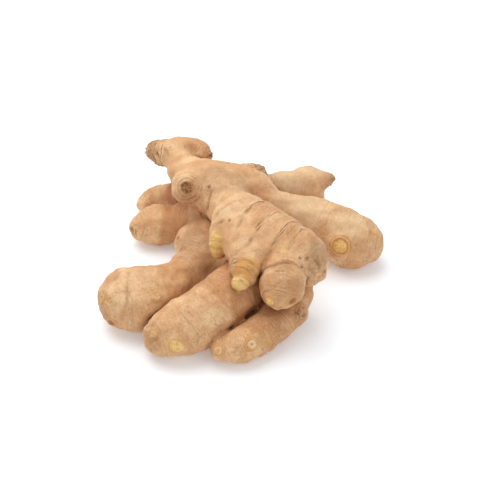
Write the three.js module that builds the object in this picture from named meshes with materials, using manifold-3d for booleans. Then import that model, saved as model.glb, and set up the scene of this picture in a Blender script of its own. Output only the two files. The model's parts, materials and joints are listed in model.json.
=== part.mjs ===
// A fresh ginger root: one rhizome whose stubby fingers branch from a knobbly crown and lie in
// two tiers on a table. Leaf-scar rings step across every finger, pale buds stand at the tips,
// and the cut stem has left a round scar on the crown.
// Units are millimetres, +Z is up, the table is the plane z = 0, and the origin lies under the
// middle of the root.
import * as THREE from 'three';
import { mergeVertices } from 'three/addons/utils/BufferGeometryUtils.js';
import Module from 'manifold-3d';

// Driving dimensions
const SIDE_LENGTH = 5.7; // one side of a finger's many-sided section
const LOOP_SPACING = 6.5; // between sections where nothing steps
const RING_SPACE = 13; // widest space between leaf-scar rings that their relief grows with
const RING_STEP = 0.08; // drop in radius across a ring, as a share of the space round it
const RING_HALF_WIDTH = 0.09; // from a ring's high edge to its middle, as a share of that space
const CAP_TURNS = [32, 60]; // degrees from the last section to those of its round cap
const LUMP_HEIGHT = 0.7; // slow swelling of the skin, up or down
const LUMP_LENGTH = 21; // from one swelling to the next
const SAMPLE_SPACING = 2.5; // between the spheres that stand for a finger in the skin's field
const FLOW_STEPS = 5; // moves that take a point of the joined tubes onto the skin

// Every growth, from its root to its tip. A station is [x, y, z, radius]. `from` is the growth
// that it branched from, `blend` the size of the soft fillet between them, and `rings` the places
// of its leaf-scar rings along it.
const GROWTHS = {
  crown: {
    from: null, blend: 0, rings: [],
    stations: [[-39.5, 54, 45, 8], [-36.5, 47, 44, 10.5], [-29.5, 41, 43, 12], [-19.5, 34.5, 42, 15],
      [-5.5, 33, 41, 14.5], [4, 34.5, 39, 11]],
  },
  stem_boss: {
    from: 'crown', blend: 7, rings: [],
    stations: [[-24, 33, 43, 12], [-29, 29, 45, 11], [-33.5, 27.5, 46, 10.5]],
  },
  knob_right: {
    from: 'crown', blend: 6, rings: [9],
    stations: [[-42.5, 66, 45, 8.5], [-37.5, 68, 46, 7.6], [-32, 69, 45, 7.3], [-27.5, 67.5, 43.5, 6.8],
      [-26, 66, 43, 6]],
  },
  knob_left: {
    from: 'crown', blend: 6, rings: [6, 11],
    stations: [[-41, 62, 45, 8.5], [-47.5, 66, 44.5, 8.5], [-52, 69, 43.5, 7.5], [-54.5, 70.5, 43, 6.8]],
  },
  back_stub: {
    from: 'crown', blend: 4, rings: [6],
    stations: [[-3, 46, 38, 8.5], [4.5, 52.5, 38, 6.5], [7.5, 53.5, 38, 5.5]],
  },
  hand: {
    from: 'crown', blend: 8, rings: [34.5, 44, 55.5, 65.5, 72.5],
    stations: [[-17, 27, 43, 14], [-9.5, 12, 43.2, 12.9], [-2, 0, 44.8, 13.2], [6, -10, 46, 14.6],
      [17, -21, 45, 15], [28, -29, 42, 14], [33, -31.5, 39, 11.5]],
  },
  hand_shoulder: {
    from: 'hand', blend: 2.5, rings: [],
    stations: [[-1, -3, 47, 13.2], [-6, -7, 47.2, 12.4]],
  },
  hand_bud_upper: {
    from: 'hand_shoulder', blend: 5, rings: [4],
    stations: [[-5, -10, 45, 11], [-8, -13, 43.5, 10.6], [-10, -14.5, 42, 9.5]],
  },
  palm_upper: {
    from: 'hand', blend: 6, rings: [],
    stations: [[-6, -10, 46.5, 12.3], [-1.5, -16.5, 46.2, 13], [3.5, -23, 45, 13]],
  },
  upper_nub: {
    from: 'hand_bud_upper', blend: 3, rings: [5],
    stations: [[-12, -14, 45, 6.6], [-14.3, -18, 43.5, 6.3], [-15.3, -21.5, 40, 5.4],
      [-15.6, -22.7, 38, 4.6]],
  },
  palm: {
    from: 'hand', blend: 8, rings: [],
    stations: [[7, -14, 44, 13], [8, -22, 43.5, 12.5], [9, -28.5, 42.5, 12]],
  },
  palm_left: {
    from: 'palm', blend: 5, rings: [],
    stations: [[-3, -16, 43.5, 11], [-2.5, -22, 43.2, 10.9], [-1, -29, 42.5, 10.4]],
  },
  hand_bud_lower: {
    from: 'hand', blend: 4, rings: [21.5],
    stations: [[6, -24, 43.5, 10.5], [3, -33, 42.5, 10], [0.8, -40, 41.5, 9.2], [0, -43.5, 41, 8.5],
      [-1, -46.5, 40.3, 6.3], [-2.3, -50.5, 39, 5.2]],
  },
  hand_knuckle: {
    from: 'hand', blend: 3.5, rings: [13.5, 20],
    stations: [[23.5, -31.5, 42, 12], [21.5, -43, 39, 12], [20, -50, 36, 12.5], [19.5, -52, 34, 11]],
  },
  hand_heel: {
    from: 'hand', blend: 6, rings: [5, 10],
    stations: [[30.5, -30.5, 41, 12], [35.5, -34, 36, 9], [36.5, -35.5, 33, 7.5], [35, -37.5, 32, 6]],
  },
  right_finger: {
    from: 'crown', blend: 8, rings: [25, 46, 62, 71],
    stations: [[0.5, 36, 38, 11], [13.5, 28.5, 35, 8.5], [28, 26.5, 30, 9.5], [44, 23.5, 24, 13.5],
      [55.5, 19, 18, 16.3], [63.5, 16, 15, 16.8], [68.5, 15.2, 14.2, 14.4]],
  },
  back_branch: {
    from: 'crown', blend: 6, rings: [10, 25, 46],
    stations: [[4.5, 43, 33, 10], [14.5, 53, 28, 8], [20.5, 56, 27, 8.7], [29.5, 60, 26, 8],
      [41, 64.5, 25, 7.7], [48.5, 64.5, 25, 6.5], [50.5, 64.5, 25, 5.2]],
  },
  back_leg: {
    from: 'back_branch', blend: 5, rings: [6, 13],
    stations: [[39.5, 64.5, 25, 7.5], [42, 61.5, 17, 7.5], [44, 56, 9, 7.5], [44.5, 54.5, 6.5, 7]],
  },
  hub: {
    from: 'crown', blend: 8, rings: [],
    stations: [[-14, 32.5, 24, 14.5], [-24, 32, 22, 12], [-33.5, 32.5, 18, 8.5]],
  },
  left_finger: {
    from: 'hub', blend: 6, rings: [14, 26.5],
    stations: [[-27.5, 34, 20, 9.5], [-36.5, 35.5, 16, 10], [-45, 36, 12, 11.5], [-53.5, 36, 11.5, 12.5],
      [-61, 34.5, 11, 9.5], [-64.5, 35, 10, 6]],
  },
  left_back_finger: {
    from: 'hub', blend: 5, rings: [16, 30, 40],
    stations: [[-30, 45, 24, 8.5], [-42, 64.5, 14, 8], [-51.5, 70, 9, 7.5], [-58.5, 69.5, 7, 6.5],
      [-62.5, 67, 6, 6], [-64, 65.5, 5.5, 5]],
  },
  under_axis: {
    from: 'hub', blend: 6, rings: [],
    stations: [[-32, 11.5, 15, 9], [-26.5, 13.5, 15, 11], [-18.5, 12.5, 18, 12], [-5.5, -4.5, 18, 11.5],
      [9.5, -19, 18, 11.5], [24.5, -32, 16, 11]],
  },
  elbow: {
    from: 'hub', blend: 6, rings: [],
    stations: [[-17.5, 18, 20, 12], [-25, 15.5, 19, 10.5], [-31, 14, 18, 9], [-33.5, 14, 18, 7]],
  },
  elbow_fold: {
    from: 'elbow', blend: 6, rings: [],
    stations: [[-23.5, 9.5, 16, 12], [-29, 7, 14, 10], [-30.5, 3.5, 14, 8.5]],
  },
  lobe: {
    from: 'elbow_fold', blend: 8, rings: [20, 36, 50],
    stations: [[-23, 3, 15, 12], [-31, -8, 14, 11], [-43.5, -23.5, 13.5, 11.8], [-54, -31, 15, 14],
      [-61.5, -39.3, 15.5, 16.2], [-67.5, -41.5, 15.5, 14.2]],
  },
  lobe_shoulder: {
    from: 'lobe', blend: 8, rings: [],
    stations: [[-59.5, -34.5, 16.5, 12.5], [-66, -33.5, 17, 13], [-70, -33.5, 17, 11.5]],
  },
  lobe_side: {
    from: 'lobe', blend: 8, rings: [],
    stations: [[-46, -30, 13.5, 12], [-52, -38, 14, 13.3], [-57.5, -42.5, 14, 13]],
  },
  front_finger: {
    from: 'under_axis', blend: 8, rings: [26, 39.5, 59.5],
    stations: [[9.5, -21, 24, 12.5], [0.5, -31.5, 24, 14.5], [-9.5, -43, 22, 15.5],
      [-22, -54, 17.5, 16.5], [-33, -60.5, 14.5, 15.7], [-41.5, -63.5, 13, 13], [-46, -65.5, 12, 10.5]],
  },
  front_right_finger: {
    from: 'under_axis', blend: 8, rings: [21, 31, 43],
    stations: [[26, -33, 17, 11], [23.5, -41.5, 13, 11], [14, -55, 10.6, 10.8], [3.5, -66, 10.1, 10.4],
      [-6, -70.5, 9.2, 9.4], [-12, -71.5, 8.8, 7.4]],
  },
  crotch: {
    from: 'front_finger', blend: 2, rings: [],
    stations: [[11, -34, 11.5, 8], [5.5, -42, 8, 6.3], [0.5, -47.5, 6.3, 5.2]],
  },
  under_stub: {
    from: 'front_right_finger', blend: 3, rings: [],
    stations: [[23, -41, 14, 8], [28.5, -46, 13, 6], [29.5, -47, 12.5, 5]],
  },
};

// Buds and bud scars on the skin: a point at each one's middle, its radius and how far it stands
// out.
const BUDS = [
  { at: [55.5, 1, 22], radius: 5.9, rise: 1.5 },
  { at: [-37, -76.5, 15], radius: 6, rise: 1.1 },
  { at: [-49.5, -72, 20], radius: 3, rise: 0.9 },
  { at: [-79.5, -45, 23], radius: 3.4, rise: 1 },
  { at: [-74, -53.5, 12], radius: 3.2, rise: 1 },
  { at: [-49.5, -47.5, 25], radius: 3, rise: 0.9 },
  { at: [-14.5, -77, 12.5], radius: 3.4, rise: 1.2 },
  { at: [3.5, -76, 16], radius: 3.8, rise: 1.2 },
  { at: [13, -61.5, 34], radius: 3.6, rise: 1.1 },
  { at: [25, -61, 34], radius: 3.4, rise: 1 },
  { at: [-68.5, 29, 13], radius: 3, rise: 0.9 },
];

// The round scar where the leafy stem was cut off, on the boss at the side of the crown.
const STEM_SCAR = { at: [-34.2, 18.9, 52.2], facing: [-0.08, -0.74, 0.66], radius: 10 };

// Growths that touch others besides the one they branched from, with the fillet between them.
const FUSED_PAIRS = [
  ['knob_left', 'knob_right', 5],
  ['hand', 'stem_boss', 6],
  ['palm', 'hand_bud_lower', 5],
  ['palm', 'hand_knuckle', 2.5],
  ['palm', 'hand_bud_upper', 4],
  ['palm', 'hand_shoulder', 5],
  ['palm_upper', 'hand_shoulder', 5],
  ['palm_upper', 'hand_bud_upper', 5],
  ['palm_upper', 'palm', 6],
  ['palm_left', 'palm_upper', 6],
  ['palm_left', 'hand_shoulder', 5],
  ['palm_left', 'hand_bud_upper', 4],
  ['palm_left', 'hand_bud_lower', 5],
  ['palm_upper', 'hand_bud_lower', 4],
  ['hand', 'hand_bud_upper', 4],
  ['under_axis', 'elbow', 6],
  ['under_axis', 'elbow_fold', 6],
  ['under_axis', 'lobe', 6],
  ['lobe', 'elbow', 6],
  ['crotch', 'front_right_finger', 2],
];

const skinMaterial = new THREE.MeshStandardMaterial({
  color: new THREE.Color('#d0a57d'),
  roughness: 0.62,
  metalness: 0,
});

// A growth's centre line, with its radius at any place on it.
function centreLine(stations) {
  const curve = new THREE.CatmullRomCurve3(stations.map(([x, y, z]) => new THREE.Vector3(x, y, z)));
  const radii = new THREE.SplineCurve(stations.map(([, , , r], i) => new THREE.Vector2(i, r)));
  const length = curve.getLength();
  return {
    length,
    at(distance) {
      const u = THREE.MathUtils.clamp(distance / length, 0, 1);
      const t = curve.getUtoTmapping(u);
      return { centre: curve.getPoint(t), tangent: curve.getTangent(t), radius: radii.getPoint(t).y };
    },
  };
}

// A pointed dome with a raised collar round it, as [radius, height] from its edge to its middle.
function budProfile(radius, rise) {
  const sunk = -0.5 * radius;
  return [
    [0, sunk],
    [radius, sunk],
    [radius, 0.35 * rise],
    [0.84 * radius, 0.75 * rise],
    [0.68 * radius, 0.35 * rise],
    [0.38 * radius, rise],
    [0, 1.15 * rise],
  ];
}

// A low cone of three rings round a dimple, on a stub that narrows into the body.
function stemScarProfile(radius) {
  const sunk = -1.1 * radius;
  return [
    [0, sunk],
    [0.84 * radius, sunk],
    [radius, -0.08 * radius],
    [0.82 * radius, 0.02 * radius],
    [0.74 * radius, -0.04 * radius],
    [0.56 * radius, 0.07 * radius],
    [0.48 * radius, 0],
    [0.32 * radius, 0.06 * radius],
    [0, -0.06 * radius],
  ];
}

// A profile turned round its axis, set on the skin with the axis facing out.
function turnedOnSkin(profile, sides, { at, facing }) {
  const geometry = new THREE.LatheGeometry(profile.map(([r, h]) => new THREE.Vector2(r, h)), sides);
  const outward = new THREE.Vector3(...facing).normalize();
  const turn = new THREE.Quaternion().setFromUnitVectors(new THREE.Vector3(0, 1, 0), outward);
  geometry.applyQuaternion(turn);
  geometry.translate(...at);
  return geometry;
}

// Where the sections of a growth lie along it, and how far each stands off the smooth radius.
// A ring is a pair of sections, high on the root's side and low on the tip's side.
function sectionPlaces(length, rings) {
  const stops = [0, ...rings, length];
  const places = [[0, 0]];
  for (let i = 1; i < stops.length; i++) {
    const behind = stops[i] - stops[i - 1];
    const count = Math.max(1, Math.round(behind / LOOP_SPACING));
    for (let k = 1; k < count; k++) places.push([stops[i - 1] + (behind * k) / count, 0]);
    if (i < stops.length - 1) {
      const space = Math.min(behind, stops[i + 1] - stops[i], RING_SPACE);
      places.push([stops[i] - RING_HALF_WIDTH * space, (RING_STEP * space) / 2]);
      places.push([stops[i] + RING_HALF_WIDTH * space, (-RING_STEP * space) / 2]);
    }
  }
  places.push([length, 0]);
  return places;
}

// A growth's tube with round caps, closed, as one indexed geometry.
function tubeGeometry(line, rings) {
  const loops = sectionPlaces(line.length, rings).map(([distance, rise]) => {
    const place = line.at(distance);
    return { ...place, radius: place.radius + rise };
  });
  const first = loops[0];
  const last = loops[loops.length - 1];
  const cap = (end, sign) =>
    CAP_TURNS.map((turn) => {
      const angle = THREE.MathUtils.degToRad(turn);
      const ahead = end.tangent.clone().multiplyScalar(sign * end.radius * Math.sin(angle));
      return {
        centre: end.centre.clone().add(ahead),
        tangent: end.tangent,
        radius: end.radius * Math.cos(angle),
      };
    });
  const pole = (end, sign) => end.centre.clone().addScaledVector(end.tangent, sign * end.radius);
  const all = [...cap(first, -1).reverse(), ...loops, ...cap(last, 1)];
  const widest = Math.max(...loops.map((loop) => loop.radius));
  const sides = Math.max(8, Math.round((2 * Math.PI * widest) / SIDE_LENGTH));

  const across = new THREE.Vector3(0, 0, 1).cross(first.tangent).normalize();
  const positions = [];
  for (const loop of all) {
    across.addScaledVector(loop.tangent, -across.dot(loop.tangent)).normalize();
    const up = loop.tangent.clone().cross(across);
    for (let i = 0; i < sides; i++) {
      const angle = (2 * Math.PI * i) / sides;
      const corner = loop.centre.clone();
      corner.addScaledVector(across, loop.radius * Math.cos(angle));
      corner.addScaledVector(up, loop.radius * Math.sin(angle));
      positions.push(...corner.toArray());
    }
  }
  const rootPole = all.length * sides;
  const tipPole = rootPole + 1;
  positions.push(...pole(first, -1).toArray(), ...pole(last, 1).toArray());

  const faces = [];
  for (let i = 0; i < sides; i++) {
    const next = (i + 1) % sides;
    faces.push(rootPole, next, i);
    for (let row = 0; row + 1 < all.length; row++) {
      const here = row * sides;
      const ahead = here + sides;
      faces.push(here + i, here + next, ahead + next);
      faces.push(here + i, ahead + next, ahead + i);
    }
    const end = (all.length - 1) * sides;
    faces.push(tipPole, end + i, end + next);
  }
  const geometry = new THREE.BufferGeometry();
  geometry.setAttribute('position', new THREE.Float32BufferAttribute(positions, 3));
  geometry.setIndex(faces);
  return geometry;
}

// The spheres along a growth that its distance is measured to.
function sampleSpheres(line) {
  const count = Math.max(2, Math.ceil(line.length / SAMPLE_SPACING));
  return Array.from({ length: count + 1 }, (_, i) => {
    const { centre, radius } = line.at((line.length * i) / count);
    return [centre.x, centre.y, centre.z, radius];
  });
}

// How far a point lies outside a growth's skin, or inside it where the result is negative.
function distanceToGrowth(spheres, [x, y, z]) {
  let nearest = Infinity;
  for (let i = 0; i + 1 < spheres.length; i++) {
    const [ax, ay, az, ar] = spheres[i];
    const [bx, by, bz, br] = spheres[i + 1];
    const [dx, dy, dz] = [bx - ax, by - ay, bz - az];
    const along = ((x - ax) * dx + (y - ay) * dy + (z - az) * dz) / (dx * dx + dy * dy + dz * dz);
    const t = Math.min(1, Math.max(0, along));
    const gap = Math.hypot(x - ax - t * dx, y - ay - t * dy, z - az - t * dz);
    nearest = Math.min(nearest, gap - ar - t * (br - ar));
  }
  return nearest;
}

// The smaller of two distances, rounded off where they are alike.
function softMinimum(a, b, blend) {
  const overlap = Math.max(blend - Math.abs(a - b), 0) / blend;
  return Math.min(a, b) - (overlap * overlap * blend) / 4;
}

// Slow swellings and hollows of the skin.
function lumpHeight([x, y, z]) {
  const k = (2 * Math.PI) / LUMP_LENGTH;
  const a = Math.sin(k * (x + 0.4 * y) + 1.3) * Math.sin(k * (0.9 * y - 0.5 * z) + 0.4);
  const b = Math.sin(k * 1.7 * (0.6 * x - y) + 2.1) * Math.sin(k * 1.5 * (z + 0.5 * x) + 5.2);
  return LUMP_HEIGHT * (0.75 * a + 0.55 * b);
}

// How far a point lies from the hard union of the growths, and from the filleted, lumpy skin.
function skinField(spheresOf, pairs, point) {
  const distances = {};
  let hard = Infinity;
  for (const [name, spheres] of Object.entries(spheresOf)) {
    distances[name] = distanceToGrowth(spheres, point);
    hard = Math.min(hard, distances[name]);
  }
  let soft = hard;
  for (const [one, other, blend] of pairs) {
    soft = Math.min(soft, softMinimum(distances[one], distances[other], blend));
  }
  return { hard, skin: soft - lumpHeight(point) };
}

// The value of a distance at a point and how it grows along each axis.
function valueAndSlope(distanceAt, point) {
  const reach = 0.05;
  const value = distanceAt(point);
  const slope = [0, 1, 2].map((axis) => {
    const beside = [...point];
    beside[axis] += reach;
    return (distanceAt(beside) - value) / reach;
  });
  return { value, slope };
}

// Moves a point along a distance's slope until it lies at the level asked for.
function flowToLevel(distanceAt, level, start) {
  let point = start;
  for (let step = FLOW_STEPS; step > 0; step--) {
    const { value, slope } = valueAndSlope(distanceAt, point);
    const steepness = Math.max(0.25, slope[0] ** 2 + slope[1] ** 2 + slope[2] ** 2);
    const move = (level - value) / steepness / step;
    point = point.map((coordinate, axis) => coordinate + move * slope[axis]);
  }
  return point;
}

// Moves a point of the joined tubes straight out or in to the skin, keeping its ring's relief.
function flowToSkin(spheresOf, pairs, start) {
  const relief = skinField(spheresOf, pairs, start).hard;
  return flowToLevel((point) => skinField(spheresOf, pairs, point).skin, relief, start);
}

// The place on the joined tubes under a point beside them, and the way that it faces.
function placeOnTubes(spheresOf, beside) {
  const distanceAt = (point) => skinField(spheresOf, [], point).hard;
  const at = flowToLevel(distanceAt, 0, beside);
  return { at, facing: valueAndSlope(distanceAt, at).slope };
}

const wasm = await Module();
wasm.setup();

// A closed geometry as a solid that can be joined and cut.
function toSolid(geometry) {
  const shared = geometry.clone();
  for (const name of ['normal', 'uv']) if (shared.getAttribute(name)) shared.deleteAttribute(name);
  const merged = mergeVertices(shared);
  const corners = merged.getIndex().array;
  const faces = [];
  for (let i = 0; i < corners.length; i += 3) {
    const [a, b, c] = [corners[i], corners[i + 1], corners[i + 2]];
    if (a !== b && b !== c && c !== a) faces.push(a, b, c);
  }
  return new wasm.Manifold(
    new wasm.Mesh({
      numProp: 3,
      vertProperties: new Float32Array(merged.getAttribute('position').array),
      triVerts: new Uint32Array(faces),
    }),
  );
}

// The rhizome: every growth's tube joined into one body, its joints softened, its underside
// pressed flat where the fingers rest.
function rhizomeGeometry() {
  const lines = Object.entries(GROWTHS).map(([name, growth]) => [name, growth, centreLine(growth.stations)]);
  const spheresOf = Object.fromEntries(lines.map(([name, , line]) => [name, sampleSpheres(line)]));
  const pairs = [
    ...Object.entries(GROWTHS).filter(([, g]) => g.from).map(([name, g]) => [name, g.from, g.blend]),
    ...FUSED_PAIRS,
  ];
  const budSides = 9;
  const scarSides = 20;
  const joined = [
    ...lines.map(([, growth, line]) => tubeGeometry(line, growth.rings)),
    ...BUDS.map(({ at, radius, rise }) =>
      turnedOnSkin(budProfile(radius, rise), budSides, placeOnTubes(spheresOf, at))),
    turnedOnSkin(stemScarProfile(STEM_SCAR.radius), scarSides, STEM_SCAR),
  ]
    .map(toSolid)
    .reduce((whole, piece) => whole.add(piece));

  const mesh = joined.getMesh();
  const positions = Float32Array.from(mesh.vertProperties);
  for (let i = 0; i < positions.length; i += 3) {
    positions.set(flowToSkin(spheresOf, pairs, Array.from(positions.slice(i, i + 3))), i);
  }
  const softened = new THREE.BufferGeometry();
  softened.setAttribute('position', new THREE.BufferAttribute(positions, 3));
  softened.setIndex(new THREE.BufferAttribute(mesh.triVerts, 1));

  const tableDepth = 20;
  const table = new THREE.BoxGeometry(300, 300, tableDepth);
  table.translate(0, 0, -tableDepth / 2);
  const resting = toSolid(softened).subtract(toSolid(table)).getMesh();

  const geometry = new THREE.BufferGeometry();
  geometry.setAttribute('position', new THREE.BufferAttribute(resting.vertProperties, 3));
  geometry.setIndex(new THREE.BufferAttribute(resting.triVerts, 1));
  geometry.computeVertexNormals();
  return geometry;
}

const root = new THREE.Group();
const rhizome = new THREE.Mesh(rhizomeGeometry(), skinMaterial);
rhizome.name = 'ginger_rhizome';
root.add(rhizome);

export default root;
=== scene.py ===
"""Dresses a fresh ginger root: its ringed, wrinkled skin, its buds and scars, the dry root
fibres and skin flakes on it, and a pale table with soft studio light.

The tables below are in millimetres and the meshes are in metres. The root lies on z = 0.
"""

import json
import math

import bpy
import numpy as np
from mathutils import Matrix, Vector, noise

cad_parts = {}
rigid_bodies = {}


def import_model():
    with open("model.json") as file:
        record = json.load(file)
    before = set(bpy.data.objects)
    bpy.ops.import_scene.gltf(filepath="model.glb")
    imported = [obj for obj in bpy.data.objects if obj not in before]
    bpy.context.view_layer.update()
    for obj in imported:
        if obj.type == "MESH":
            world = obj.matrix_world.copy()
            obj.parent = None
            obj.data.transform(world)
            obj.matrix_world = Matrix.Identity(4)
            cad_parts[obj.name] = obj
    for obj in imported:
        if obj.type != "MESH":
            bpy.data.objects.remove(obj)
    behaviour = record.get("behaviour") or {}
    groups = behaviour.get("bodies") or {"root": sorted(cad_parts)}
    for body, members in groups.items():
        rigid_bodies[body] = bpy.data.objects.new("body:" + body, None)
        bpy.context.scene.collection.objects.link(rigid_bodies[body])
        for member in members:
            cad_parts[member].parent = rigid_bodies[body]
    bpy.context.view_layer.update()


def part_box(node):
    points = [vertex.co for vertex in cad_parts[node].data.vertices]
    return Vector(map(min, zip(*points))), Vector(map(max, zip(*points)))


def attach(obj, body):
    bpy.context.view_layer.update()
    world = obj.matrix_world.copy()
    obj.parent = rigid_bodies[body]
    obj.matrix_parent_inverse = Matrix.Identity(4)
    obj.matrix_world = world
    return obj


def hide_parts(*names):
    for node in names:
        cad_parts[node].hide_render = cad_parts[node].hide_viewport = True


bl_info = {
    "name": "Ginger Root Dresser",
    "version": (1, 0, 0),
    "blender": (4, 5, 0),
    "location": "View3D > Sidebar > Ginger",
    "description": "Builds the skin, fibres, flakes and studio of a fresh ginger root",
    "category": "Object",
}

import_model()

NODE = "ginger_rhizome"
MM = 0.001
FAR = 1000.0  # millimetres, more than any distance on the root

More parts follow.
